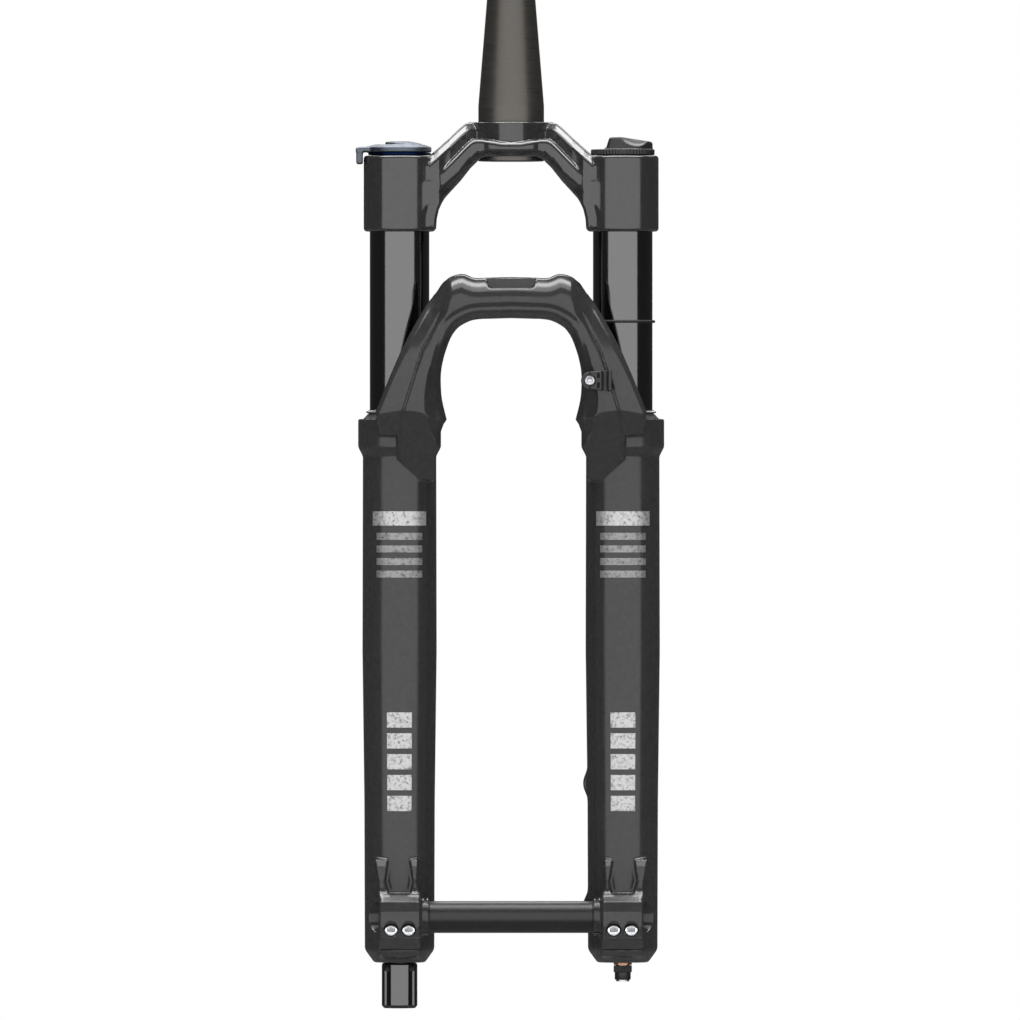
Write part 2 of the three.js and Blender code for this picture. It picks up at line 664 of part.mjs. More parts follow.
// The seal's body fills the casting's head, and its lip narrows to a neck for the garter spring.
function wiperSeal() {
  const bottom = FOAM_BOTTOM + FOAM_HEIGHT + GAP;
  const neck = WIPER_TOP - GARTER.height - GAP;
  return turned([
    [LIP_R, bottom],
    [HEAD_BORE_R - GAP, bottom],
    [HEAD_BORE_R - GAP, HEAD_TOP - GAP],
    [LIP_R + 2.2, HEAD_TOP + GAP],
    [LIP_R + 1, neck],
    [LIP_R + LIP_WALL, neck],
    [LIP_R + LIP_WALL, WIPER_TOP + LIP_WALL],
    [LIP_R, WIPER_TOP + LIP_WALL],
  ], LARGE);
}

const GARTER_R = LIP_R + LIP_WALL + GAP;
const garterSpring = () =>
  tube(GARTER_R + GARTER.wall, GARTER_R, WIPER_TOP - GARTER.height, WIPER_TOP, LARGE);

const travelRing = () => turned([
  [STANCHION_R + 0.1, -1.0],
  [STANCHION_R + 0.6, -1.2],
  [STANCHION_R + 0.95, -0.6],
  [STANCHION_R + 0.95, 0.6],
  [STANCHION_R + 0.6, 1.2],
  [STANCHION_R + 0.1, 1.0],
], LARGE).translate(0, 0, WIPER_TOP + RING_ABOVE_WIPER);

// The guide that holds the brake hose on the front of the arch leg. It is drawn round its bolt.
const GUIDE = { width: 11, reach: 13.2, thickness: 6, eye: 5.4, hose: 5.2, boltX: LEG_X - 20.1 };
const GUIDE_BOLT = { shank: 4, length: 9, head: 5.8, headHeight: 2, hex: 2.5, hexDepth: 1.2 };
const GUIDE_Z = HEAD_TOP + 23;
const GUIDE_BACK = ARCH_FRONT - CROWN_OFFSET - GAP;

function hoseGuide() {
  const outline = new THREE.Shape();
  outline.moveTo(0, -GUIDE.eye);
  outline.lineTo(GUIDE.reach, -GUIDE.width / 2 - 1);
  outline.lineTo(GUIDE.reach, GUIDE.width / 2 + 1);
  outline.lineTo(0, GUIDE.eye);
  outline.absarc(0, 0, GUIDE.eye, Math.PI / 2, 1.5 * Math.PI, false);
  const body = frontPrism(outline, GUIDE_BACK, GUIDE_BACK - GUIDE.thickness);
  const channelX = GUIDE.reach - GUIDE.hose / 2 - 1.4;
  const channelY = GUIDE_BACK - GUIDE.thickness + 1.6;
  const channel = rod(GUIDE.hose / 2, -20, 20, SMALL).translate(channelX, channelY, 0);
  const boltHole = alongMinusY(rod(GUIDE_BOLT.shank / 2 + GAP, 0, 100, SMALL));
  return toGeometry(cut(toManifold(body), [channel, boltHole])).translate(GUIDE.boltX, 0, GUIDE_Z);
}

const hoseGuideBolt = () => alongMinusY(socketBolt(GUIDE_BOLT, 0))
  .translate(GUIDE.boltX, GUIDE_BACK - GUIDE.thickness - GAP - GUIDE_BOLT.headHeight, GUIDE_Z);

function guideBoltHole() {
  const depth = GUIDE_BOLT.length + 1 - GUIDE.thickness;
  return alongMinusY(rod(GUIDE_BOLT.shank / 2 + GAP, -depth, 5, SMALL))
    .translate(GUIDE.boltX, GUIDE_BACK, GUIDE_Z);
}

// ---------------------------------------------------------------------------------------------
// Inside both legs
// ---------------------------------------------------------------------------------------------

const sealHead = () => tube(FIT_R, SHAFT_R + RUNNING_GAP, SEAL_BOTTOM, SEAL_TOP);
const retainingRing = () => tube(FIT_R, FIT_R - 3, RING_BOTTOM, RING_BOTTOM + RING_HEIGHT);
const bottomOutBumper = () => tube(
  SHAFT_R + 7, SHAFT_R + GAP, BORE_FLOOR + GAP, BORE_FLOOR + GAP + BUMPER_HEIGHT,
);

const WASHER_TOP = FOOT_Z - GAP;
const crushWasher = () =>
  tube(FOOT_NUT.acrossFlats / 2, STUD_R + GAP, WASHER_TOP - WASHER_HEIGHT, WASHER_TOP, SMALL);

const NUT_TOP = WASHER_TOP - WASHER_HEIGHT - GAP;
const NUT_BOTTOM = NUT_TOP - FOOT_NUT.height - FOOT_NUT.collarHeight;

// Hexagonal nut with a round collar below it.
function footNut() {
  const hexagon = planPrism(regularPolygon(FOOT_NUT.acrossFlats), NUT_TOP - FOOT_NUT.height, NUT_TOP);
  const collar = rod(FOOT_NUT.collar / 2, NUT_BOTTOM, NUT_TOP - 1, SMALL);
  const thread = rod(STUD_R + GAP, NUT_BOTTOM - PAST, NUT_TOP + PAST, SMALL);
  return toGeometry(cut(joined([hexagon, collar]), [thread]));
}

// Outline of a hollow shaft from its threaded end up to its top.
const shaftOutline = (bottom, top) => [
  [SHAFT_BORE / 2, bottom],
  [STUD_R, bottom],
  [STUD_R, FOOT_Z + FOOT_WALL + GAP],
  [SHAFT_R, FOOT_Z + FOOT_WALL + GAP],
  [SHAFT_R, top],
];

// ---------------------------------------------------------------------------------------------
// Damper leg
// ---------------------------------------------------------------------------------------------

const damperTopCap = () => turned([
  [CONTROL_ROD_OD / 2 + RUNNING_GAP, CAP_BOTTOM],
  [FIT_R, CAP_BOTTOM],
  [FIT_R, BOSS_TOP + GAP],
  [CONTROL_R - RUNNING_GAP, BOSS_TOP + GAP],
  [CONTROL_R - RUNNING_GAP, BOSS_TOP + GAP + TOP_CAP_FLANGE],
  [CONTROL_ROD_OD / 2 + RUNNING_GAP, BOSS_TOP + GAP + TOP_CAP_FLANGE],
]);

const damperTube = () => tube(
  DAMPER_TUBE_R, DAMPER_TUBE_R - DAMPER_TUBE_WALL, SEAL_TOP + GAP, CAP_BOTTOM - GAP,
);

const compressionValve = () => turned([
  [CONTROL_ROD_OD / 2 + RUNNING_GAP, VALVE_BOTTOM],
  [DAMPER_FIT_R - 3, VALVE_BOTTOM],
  [DAMPER_FIT_R, VALVE_BOTTOM + 3],
  [DAMPER_FIT_R, VALVE_TOP],
  [CONTROL_ROD_OD / 2 + RUNNING_GAP, VALVE_TOP],
]);

const floatingPiston = () => tube(
  DAMPER_FIT_R, CONTROL_ROD_OD / 2 + RUNNING_GAP, FLOATING_BOTTOM, FLOATING_TOP,
);

// Coil spring between the floating piston and the top cap.
const SPRING = { wireR: 0.9, wallGap: 2.5, turns: 6, stepsPerTurn: 12 };

function floatingPistonSpring() {
  const coilR = DAMPER_FIT_R - SPRING.wallGap;
  const bottom = FLOATING_TOP + GAP + SPRING.wireR;
  const top = CAP_BOTTOM - GAP - SPRING.wireR;
  const steps = SPRING.turns * SPRING.stepsPerTurn;
  const points = Array.from({ length: steps + 1 }, (_, i) => {
    const angle = (2 * Math.PI * i) / SPRING.stepsPerTurn;
    const height = bottom + ((top - bottom) * i) / steps;
    return new THREE.Vector3(coilR * Math.cos(angle), coilR * Math.sin(angle), height);
  });
  const wire = regularPolygon(SPRING.wireR * 2).map(([x, y]) => new THREE.Vector2(x, y));
  return new THREE.ExtrudeGeometry(new THREE.Shape(wire), {
    steps,
    extrudePath: new THREE.CatmullRomCurve3(points),
    bevelEnabled: false,
  });
}

const LEVER_BOTTOM = BOSS_TOP + GAP + TOP_CAP_FLANGE + GAP;
const LEVER_RIM = 3.6; // height of the disc's edge
const LEVER_TOP = LEVER_BOTTOM + 6.9;
const LEVER_TAB = { inner: BOSS_R + 0.6, outer: BOSS_R + 4.5, drop: 7.2, width: 15, height: 4.6 };
const CONTROL_ROD_GRIP = 3; // rod's length inside the lever

// Sweep lever: a domed disc with a finger tab that hangs outboard of the boss.
function compressionLever() {
  const discR = CONTROL_R;
  const tab = LEVER_TAB;
  const disc = turned([
    [0, LEVER_BOTTOM],
    [discR, LEVER_BOTTOM],
    [discR, LEVER_BOTTOM + LEVER_RIM],
    [discR - 2, LEVER_BOTTOM + 1.5 * LEVER_RIM],
    [discR * 0.6, LEVER_TOP - 0.4],
    [0, LEVER_TOP],
  ], ROUND);
  const tabOutline = [
    [-discR * 0.7, LEVER_BOTTOM],
    [-tab.inner, LEVER_BOTTOM],
    [-tab.inner, LEVER_BOTTOM - tab.drop],
    [-tab.outer, LEVER_BOTTOM - tab.drop],
    [-tab.outer, LEVER_BOTTOM + tab.height / 2],
    [-discR + 1, LEVER_BOTTOM + tab.height],
    [-discR * 0.7, LEVER_BOTTOM + tab.height],
  ];
  const socketTop = LEVER_BOTTOM + CONTROL_ROD_GRIP;
  const socket = rod(CONTROL_ROD_OD / 2 + GAP, LEVER_BOTTOM - PAST, socketTop, SMALL);
  const tabBar = frontPrism(tabOutline, tab.width / 2, -tab.width / 2);
  return toGeometry(cut(joined([disc, tabBar]), [socket]));
}

const compressionRod = () =>
  rod(CONTROL_ROD_OD / 2, VALVE_BOTTOM + 2, LEVER_BOTTOM + CONTROL_ROD_GRIP - GAP, SMALL);

const damperPiston = () => tube(DAMPER_FIT_R, REBOUND_ROD_OD / 2 + GAP, PISTON_BOTTOM, PISTON_TOP);
const damperShaft = () => turned([
  ...shaftOutline(NUT_BOTTOM, PISTON_BOTTOM - GAP),
  [SHAFT_BORE / 2, PISTON_BOTTOM - GAP],
]);
const reboundRod = () => rod(REBOUND_ROD_OD / 2, FOOT_Z - KNOB_HEIGHT + 5, PISTON_TOP - 2, SMALL);

// Knob, hollow above to clear the foot nut.
function reboundKnob() {
  const bottom = FOOT_Z - KNOB_HEIGHT;
  const knobR = KNOB_OD / 2;
  const recessR = acrossCorners(FOOT_NUT.acrossFlats) / 2 + RUNNING_GAP;
  const recessTop = NUT_BOTTOM - RUNNING_GAP;
  return turned([
    [REBOUND_ROD_OD / 2 + GAP, bottom + 4],
    [0, bottom + 4],
    [0, bottom],
    [knobR - 1.5, bottom],
    [knobR - 0.4, bottom + 1.2],
    [knobR, bottom + 8],
    [knobR, FOOT_Z - GAP - 1.5],
    [knobR - 0.8, FOOT_Z - GAP],
    [recessR, FOOT_Z - GAP],
    [recessR, recessTop],
    [REBOUND_ROD_OD / 2 + GAP, recessTop],
  ], ROUND);
}

// ---------------------------------------------------------------------------------------------
// Air-spring leg
// ---------------------------------------------------------------------------------------------

const CAP_HEX = { acrossFlats: 19, height: 4.5 };
const AIR_CAP_R = STANCHION_BORE_R + 1.2;
const VALVE_STEM_R = 4;
const VALVE_STEM_TOP = BOSS_TOP + 8;

const airTopCap = () => toGeometry(cut(joined([
  turned([
    [0, CAP_BOTTOM],
    [FIT_R, CAP_BOTTOM],
    [FIT_R, BOSS_TOP + GAP],
    [AIR_CAP_R, BOSS_TOP + GAP],
    [AIR_CAP_R, BOSS_TOP + GAP + AIR_CAP_FLANGE],
    [0, BOSS_TOP + GAP + AIR_CAP_FLANGE],
  ]),
  planPrism(regularPolygon(CAP_HEX.acrossFlats), BOSS_TOP, BOSS_TOP + GAP + CAP_HEX.height),
]), [rod(VALVE_STEM_R + GAP, CAP_BOTTOM - PAST, VALVE_STEM_TOP, SMALL)]));

const airValveStem = () => turned([
  [0, CAP_BOTTOM + 2],
  [VALVE_STEM_R, CAP_BOTTOM + 2],
  [VALVE_STEM_R, VALVE_STEM_TOP - 0.6],
  [VALVE_STEM_R - 0.6, VALVE_STEM_TOP],
  [0, VALVE_STEM_TOP],
], SMALL);

// Screw-on cover over the air valve: a disc with a half-moon grip across it.
function airValveCap() {
  const discR = CONTROL_R;
  const bottom = BOSS_TOP + GAP;
  const discTop = bottom + 3.3;
  const gripTop = VALVE_STEM_TOP + 2.9;
  const grip = frontPrism([
    [-discR * 0.53, discTop - 0.5],
    [-discR * 0.4, gripTop],
    [0, gripTop + 0.1],
    [discR, gripTop - 3],
    [discR, discTop - 0.5],
  ], discR, -discR);
  const roundEdge = toManifold(rod(discR - 0.2, bottom, gripTop + PAST, ROUND));
  const gripRound = toManifold(grip).intersect(roundEdge);
  const disc = toManifold(rod(discR, bottom, discTop, ROUND));
  const hexR = acrossCorners(CAP_HEX.acrossFlats) / 2;
  const hollows = [
    rod(AIR_CAP_R + RUNNING_GAP, bottom - PAST, bottom + AIR_CAP_FLANGE + GAP, ROUND),
    rod(hexR + RUNNING_GAP, bottom - PAST, bottom + CAP_HEX.height + GAP, ROUND),
    rod(VALVE_STEM_R + COUNTERBORE_GAP, bottom - PAST, VALVE_STEM_TOP + RUNNING_GAP, SMALL),
  ];
  return toGeometry(cut(disc.add(gripRound), hollows));
}

const SPACER_HEIGHT = 12;
const volumeSpacer = (index) => {
  const top = CAP_BOTTOM - GAP - index * (SPACER_HEIGHT + GAP);
  return rod(FIT_R, top - SPACER_HEIGHT, top);
};

const GROOVE_R = FIT_R - PISTON_GROOVE.depth;

const airPiston = () => turned([
  [0, PISTON_BOTTOM],
  [FIT_R, PISTON_BOTTOM],
  [FIT_R, PISTON_BOTTOM + PISTON_GROOVE.bottom],
  [GROOVE_R, PISTON_BOTTOM + PISTON_GROOVE.bottom],
  [GROOVE_R, PISTON_BOTTOM + PISTON_GROOVE.top],
  [FIT_R, PISTON_BOTTOM + PISTON_GROOVE.top],
  [FIT_R, PISTON_TOP],
  [0, PISTON_TOP],
]);

const airPistonSeal = () => tube(
  FIT_R + 0.1,
  GROOVE_R + GAP,
  PISTON_BOTTOM + PISTON_GROOVE.bottom + GAP,
  PISTON_BOTTOM + PISTON_GROOVE.top - GAP,
);
const topOutBumper = () => tube(SHAFT_R + 4.5, SHAFT_R + GAP, SEAL_TOP + GAP, PISTON_BOTTOM - GAP);

// Hollow shaft, open at the foot, with its closed end under the piston.
const airShaft = () => turned([
  ...shaftOutline(FOOT_Z - FOOT_STUD, PISTON_BOTTOM - GAP),
  [0, PISTON_BOTTOM - GAP],
  [0, PISTON_BOTTOM - 6],
  [SHAFT_BORE / 2, PISTON_BOTTOM - 6],
]);

// ---------------------------------------------------------------------------------------------
// Assembly
// ---------------------------------------------------------------------------------------------

function piece(name, geometry, material) {
  const mesh = new THREE.Mesh(geometry, material);
  mesh.name = name;
  return mesh;
}

function group(x, y, z, ...children) {
  const result = new THREE.Group();
  result.position.set(x, y, z);
  result.add(...children);
  return result;
}

// The pieces that both legs have, named after their leg.
const commonLegPieces = (leg) => [
  piece(`stanchion_${leg}`, stanchion(), ANODISED_BLACK),
  piece(`wiper_seal_${leg}`, wiperSeal(), RUBBER),
  piece(`garter_spring_${leg}`, garterSpring(), SPRING_STEEL),
  piece(`foam_ring_${leg}`, foamRing(), FOAM),
  piece(`upper_bushing_${leg}`, upperBushing(), BUSHING),
  piece(`lower_bushing_${leg}`, lowerBushing(), BUSHING),
  piece(`seal_head_${leg}`, sealHead(), ALUMINIUM),
  piece(`retaining_ring_${leg}`, retainingRing(), SPRING_STEEL),
  piece(`bottom_out_bumper_${leg}`, bottomOutBumper(), RUBBER),
  piece(`crush_washer_${leg}`, crushWasher(), COPPER),
  piece(`foot_nut_${leg}`, footNut(), leg === 'air' ? SATIN_BLACK : STEEL),
];

const pinchBolts = (leg, side) => pinchPlaces(side).map((x, index) => {
  const bolt = socketBolt(PINCH_BOLT, PINCH_HEAD_RISE);
  return onPinchAxis(piece(`pinch_bolt_${leg}_${index + 1}`, bolt, STEEL), x);
});

const damperPieces = () => [
  piece('damper_top_cap', damperTopCap(), BLUE),
  piece('damper_tube', damperTube(), ALUMINIUM),
  piece('compression_valve', compressionValve(), BRASS),
  piece('floating_piston', floatingPiston(), ALUMINIUM),
  piece('floating_piston_spring', floatingPistonSpring(), SPRING_STEEL),
  piece('compression_lever', compressionLever(), SILVER_BLUE),
  piece('compression_rod', compressionRod(), ALUMINIUM),
  piece('damper_piston', damperPiston(), BRASS),
  piece('damper_shaft', damperShaft(), STEEL),
  piece('rebound_rod', reboundRod(), ALUMINIUM),
  piece('rebound_knob', reboundKnob(), GLOSS_BLACK),
];

const airPieces = () => [
  piece('air_top_cap', airTopCap(), SATIN_BLACK),
  piece('air_valve_stem', airValveStem(), BRASS),
  piece('air_valve_cap', airValveCap(), PLASTIC_BLACK),
  ...[0, 1].map((index) => piece(`volume_spacer_${index + 1}`, volumeSpacer(index), PLASTIC_ORANGE)),
  piece('air_piston', airPiston(), ALUMINIUM),
  piece('air_piston_seal', airPistonSeal(), RUBBER),
  piece('top_out_bumper', topOutBumper(), RUBBER),
  piece('air_shaft', airShaft(), STEEL),
  piece('travel_ring', travelRing(), RUBBER),
];

const damperLeg = [...commonLegPieces('damper'), ...pinchBolts('damper', -1), ...damperPieces()];
const airLeg = [...commonLegPieces('air'), ...pinchBolts('air', 1), ...airPieces()];

export default group(
  0, 0, 0,
  piece('steerer_tube', steererTube(), BRUSHED_DARK),
  piece('crown', crown(), GLOSS_BLACK),
  piece('lower_casting', lowerCasting(), GLOSS_BLACK),
  piece('hose_guide', hoseGuide(), PLASTIC_BLACK),
  piece('hose_guide_bolt', hoseGuideBolt(), STEEL),
  group(0, AXLE_LOCAL_Y - CROWN_OFFSET, AXLE_Z, piece('axle', axle(), SATIN_BLACK)),
  group(-LEG_X, -CROWN_OFFSET, 0, ...damperLeg),
  group(LEG_X, -CROWN_OFFSET, 0, ...airLeg),
);
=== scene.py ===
import json
import math

import bpy
import numpy as np
from mathutils import Matrix, Vector


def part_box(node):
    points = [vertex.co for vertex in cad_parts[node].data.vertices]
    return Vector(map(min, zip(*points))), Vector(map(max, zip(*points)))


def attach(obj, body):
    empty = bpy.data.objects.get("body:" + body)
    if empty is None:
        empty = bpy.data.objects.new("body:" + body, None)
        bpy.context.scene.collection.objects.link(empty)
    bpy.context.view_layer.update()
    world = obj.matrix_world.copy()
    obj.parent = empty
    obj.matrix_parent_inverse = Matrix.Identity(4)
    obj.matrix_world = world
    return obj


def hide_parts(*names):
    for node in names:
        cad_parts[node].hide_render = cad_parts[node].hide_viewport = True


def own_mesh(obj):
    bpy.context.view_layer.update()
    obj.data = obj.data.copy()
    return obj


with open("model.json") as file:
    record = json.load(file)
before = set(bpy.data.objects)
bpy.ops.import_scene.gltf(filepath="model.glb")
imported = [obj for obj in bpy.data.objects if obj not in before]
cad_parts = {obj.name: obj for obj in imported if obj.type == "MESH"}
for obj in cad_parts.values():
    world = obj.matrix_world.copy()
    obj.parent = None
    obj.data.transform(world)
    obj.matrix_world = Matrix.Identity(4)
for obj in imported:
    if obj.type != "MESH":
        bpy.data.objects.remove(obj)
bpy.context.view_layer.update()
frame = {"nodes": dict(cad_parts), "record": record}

# Lengths are in millimetres in this script, in the part's own frame, and turn into metres where a
# mesh is made. +Z is up the steerer, the front of the fork faces -Y.
METRES = 0.001
WELD_REACH = 0.002


# ---- Places, read from the frame

def corners(node):
    low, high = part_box(node)
    return np.array(low) / METRES, np.array(high) / METRES


def middle(node):
    low, high = corners(node)
    return (low + high) / 2


LEG_X, LEG_Y, _ = middle("stanchion_air")
STANCHION_LOW, STANCHION_HIGH = corners("stanchion_air")
STANCHION_R = (STANCHION_HIGH[0] - STANCHION_LOW[0]) / 2
CROWN_LOW, CROWN_HIGH = corners("crown")
BOSS_R = CROWN_HIGH[0] - LEG_X
BOSS_BOTTOM = CROWN_LOW[2]
BARREL_R = CROWN_HIGH[1]
STEERER_LOW, STEERER_HIGH = corners("steerer_tube")
STEERER_R = STEERER_HIGH[0]
CASTING_LOW, CASTING_HIGH = corners("lower_casting")
FOOT_Z = CASTING_LOW[2]
ARCH_FRONT = CASTING_LOW[1]
POST_FACE = CASTING_HIGH[1]
WIPER_LOW, WIPER_HIGH = corners("wiper_seal_air")
HEAD_R = CASTING_HIGH[0] - LEG_X
HEAD_TOP = WIPER_HIGH[2] - 5.5
AXLE_LOW, AXLE_HIGH = corners("axle")
AXLE_Y, AXLE_Z = middle("axle")[1:]
AXLE_R = (AXLE_HIGH[2] - AXLE_LOW[2]) / 2
BOSS_TOP = STANCHION_HIGH[2] + 0.5
LEGS = (("damper", -LEG_X), ("air", LEG_X))
GAP = 0.3
BORE_R = STANCHION_R + 1.5
LEG_R = BORE_R + 2.7
FOOT_R = LEG_R - 1.2


# ---- Distance fields: negative inside a solid, in millimetres

def smooth_max(a, b, width):
    """Larger of two distances, rounding the edge between them over about this width."""
    closeness = np.maximum(width - np.abs(a - b), 0.0) / width
    return np.maximum(a, b) + closeness * closeness * width * 0.25


def smooth_min(a, b, width):
    return -smooth_max(-a, -b, width)


def all_of(width, *distances):
    result = distances[0]
    for distance in distances[1:]:
        result = smooth_max(result, distance, width)
    return result


def any_of(width, *distances):
    return -all_of(width, *[-distance for distance in distances])


def slab(value, low, high):
    """Distance to the space between two parallel planes."""
    return np.abs(value - (low + high) / 2) - (high - low) / 2


def eased(share):
    """Runs from 0 to 1 with a level start and end."""
    return share * share * (3 - 2 * share)


def to_line(u, v, points):
    """Distance to an open line through points, and how far along it the nearest place is."""
    nearest = along = None
    start = 0.0
    for (u0, v0), (u1, v1) in zip(points[:-1], points[1:]):
        du, dv = u1 - u0, v1 - v0
        length = math.hypot(du, dv)
        share = np.clip(((u - u0) * du + (v - v0) * dv) / length ** 2, 0, 1)
        distance = np.hypot(u - u0 - share * du, v - v0 - share * dv)
        place = start + share * length
        if nearest is None:
            nearest, along = distance, place
        else:
            closer = distance < nearest
            nearest, along = np.where(closer, distance, nearest), np.where(closer, place, along)
        start += length
    return nearest, along


def polygon(u, v, points):
    """Signed distance to a closed outline."""
    square = None
    inside = np.zeros(np.broadcast(u, v).shape, bool)
    for (u0, v0), (u1, v1) in zip(points, points[1:] + points[:1]):
        du, dv = u1 - u0, v1 - v0
        share = np.clip(((u - u0) * du + (v - v0) * dv) / (du * du + dv * dv), 0, 1)
        distance = (u - u0 - share * du) ** 2 + (v - v0 - share * dv) ** 2
        square = distance if square is None else np.minimum(square, distance)
        if dv:
            inside ^= ((v0 > v) != (v1 > v)) & (u < du * (v - v0) / dv + u0)
    return np.where(inside, -1, 1) * np.sqrt(square)


def curve(points, steps=4):
    """Smooth line through points, as more points."""
    ends = [points[0], *points, points[-1]]
    result = []
    for a, b, c, d in zip(ends, ends[1:], ends[2:], ends[3:]):
        a, b, c, d = map(np.array, (a, b, c, d))
        for step in range(steps):
            t = step / steps
            result.append(tuple(
                0.5 * (2 * b + (c - a) * t + (2 * a - 5 * b + 4 * c - d) * t ** 2
                       + (3 * b - a - 3 * c + d) * t ** 3)
            ))
    return result + [tuple(points[-1])]


def slopes(field, points, step=0.04):
    """Unit vectors that point away from the solid."""
    signs = np.array([[1, -1, -1], [-1, -1, 1], [-1, 1, -1], [1, 1, 1]])
    total = np.zeros_like(points)
    for sign in signs:
        moved = points + sign * step
        total += sign * field(*moved.T)[:, None]
    return total / np.maximum(np.linalg.norm(total, axis=1, keepdims=True), 1e-9)


def crossings(value, axes, axis):
    """Grid edges along one axis that cross the surface: their places, cells and directions."""
    inside = value < 0
    low, high = [slice(None)] * 3, [slice(None)] * 3
    low[axis], high[axis] = slice(0, -1), slice(1, None)
    start = np.argwhere(inside[tuple(low)] != inside[tuple(high)])
    end = start.copy()
    end[:, axis] += 1
    first, last = value[tuple(start.T)], value[tuple(end.T)]
    place = np.stack([axes[i][start[:, i]] for i in range(3)], 1)
    step = axes[axis][end[:, axis]] - axes[axis][start[:, axis]]
    place[:, axis] += step * first / (first - last)
    cells = np.repeat(start[:, None, :], 4, 1)
    b, c = (axis + 1) % 3, (axis + 2) % 3
    cells[:, :, b] += np.array([-1, 0, 0, -1])
    cells[:, :, c] += np.array([-1, -1, 0, 0])
    leaving = first < 0
    cells[~leaving] = cells[~leaving][:, ::-1]
    return place, cells


def surface(field, axes):
    """Dual contouring: one vertex a cell, placed where the surface's planes meet. Gives the
    vertices and quads where field is zero."""
    axes = [np.asarray(line, float) for line in axes]
    value = field(axes[0][:, None, None], axes[1][None, :, None], axes[2][None, None, :])
    value = np.broadcast_to(value, [len(line) for line in axes])
    found = [crossings(value, axes, axis) for axis in range(3)]
    places = np.concatenate([place for place, _ in found])
    cells = np.concatenate([cell for _, cell in found])
    normals = slopes(field, places)
    shape = tuple(len(line) - 1 for line in axes)
    flat = np.ravel_multi_index(tuple(cells.reshape(-1, 3).T), shape)
    ids, corner = np.unique(flat, return_inverse=True)
    corner = corner.reshape(-1)
    count = np.bincount(corner)

    def gathered(values):
        return np.bincount(corner, np.repeat(values, 4))

    mass = np.stack([gathered(places[:, i]) for i in range(3)], 1) / count[:, None]
    offset = (normals * places).sum(1)
    matrix = np.empty((len(ids), 3, 3))
    right = np.empty((len(ids), 3))
    for i in range(3):
        right[:, i] = gathered(normals[:, i] * offset)
        for j in range(3):
            matrix[:, i, j] = gathered(normals[:, i] * normals[:, j])
    right -= np.einsum("nij,nj->ni", matrix, mass)
    sizes, ways = np.linalg.eigh(matrix)
    useful = sizes > 0.08 * sizes[:, 2:]
    share = np.where(useful, 1 / np.where(useful, sizes, 1), 0)
    vertices = mass + np.einsum("nij,nj,nkj,nk->ni", ways, share, ways, right)
    cell = np.stack(np.unravel_index(ids, shape), 1)
    for i in range(3):
        vertices[:, i] = np.clip(vertices[:, i], axes[i][cell[:, i]], axes[i][cell[:, i] + 1])
    return vertices, corner.reshape(-1, 4)


def grid_line(*stretches):
    """Grid places: each stretch is (from, to, spacing)."""
    line = []
    for low, high, spacing in stretches:
        line.extend(np.linspace(low, high, max(2, int(round((high - low) / spacing)) + 1))[:-1])
    return np.array(line + [stretches[-1][1]])


def box_axes(low, high, spacing):
    return tuple(grid_line((start, end, spacing)) for start, end in zip(low, high))


# ---- Meshes

def new_object(name, data):
    piece = bpy.data.objects.new(name, data)
    bpy.context.scene.collection.objects.link(piece)
    return piece


def mesh_object(name, vertices, faces):
    """A new object of vertices, in millimetres, and equal-sided faces."""
    faces = np.asarray(faces, np.int32)
    mesh = bpy.data.meshes.new(name)
    mesh.vertices.add(len(vertices))
    mesh.vertices.foreach_set("co", (np.asarray(vertices, np.float32) * METRES).ravel())
    mesh.loops.add(faces.size)
    mesh.loops.foreach_set("vertex_index", faces.ravel())
    mesh.polygons.add(len(faces))
    mesh.polygons.foreach_set("loop_start", np.arange(0, faces.size, faces.shape[1], dtype=np.int32))
    mesh.update(calc_edges=True)
    mesh.validate()
    return new_object(name, mesh)


def applied(piece):
    """The piece with its modifiers turned into mesh."""
    graph = bpy.context.evaluated_depsgraph_get()
    mesh = bpy.data.meshes.new_from_object(piece.evaluated_get(graph))
    old = piece.data
    piece.modifiers.clear()
    piece.data = mesh
    mesh.name = piece.name
    bpy.data.meshes.remove(old)
    return piece


def smooth(piece, sharp_degrees=38):
    piece.data.shade_smooth()
    piece.data.set_sharp_from_angle(angle=math.radians(sharp_degrees))
    return piece


def vectors(items, what):
    values = np.empty(len(items) * 3)
    items.foreach_get(what, values)
    return values.reshape(-1, 3)


def whole_numbers(items, what):
    values = np.empty(len(items), np.int32)
    items.foreach_get(what, values)
    return values


def field_normals(piece, field, sharp_degrees=24):
    """Takes each corner's shading direction from the field, so that gloss runs clean over the mesh."""
    mesh = piece.data
    mesh.shade_smooth()
    points = vectors(mesh.vertices, "co") / METRES
    corner_vertex = whole_numbers(mesh.loops, "vertex_index")
    sizes = whole_numbers(mesh.polygons, "loop_total")
    face = np.repeat(np.arange(len(sizes)), sizes)
    flat = vectors(mesh.polygons, "normal")[face]
    centres = vectors(mesh.polygons, "center")[face] / METRES
    normals = slopes(field, points)[corner_vertex]
    limit = math.cos(math.radians(sharp_degrees))
    unsure = (normals * flat).sum(1) < limit
    inward = 0.7 * points[corner_vertex[unsure]] + 0.3 * centres[unsure]
    normals[unsure] = slopes(field, inward)
    unsure &= (normals * flat).sum(1) < limit
    normals[unsure] = flat[unsure]
    mesh.normals_split_custom_set(normals)
    return piece


def field_piece(name, field, axes, most_triangles):
    """A piece whose surface is where field is zero, thinned to a number of triangles."""
    vertices, quads = surface(field, axes)
    piece = mesh_object(name, vertices, quads)
    triangles = 2 * len(quads)
    if triangles > most_triangles:
        thin = piece.modifiers.new("thin", "DECIMATE")
        thin.ratio = most_triangles / triangles
        applied(piece)
    return field_normals(piece, field)


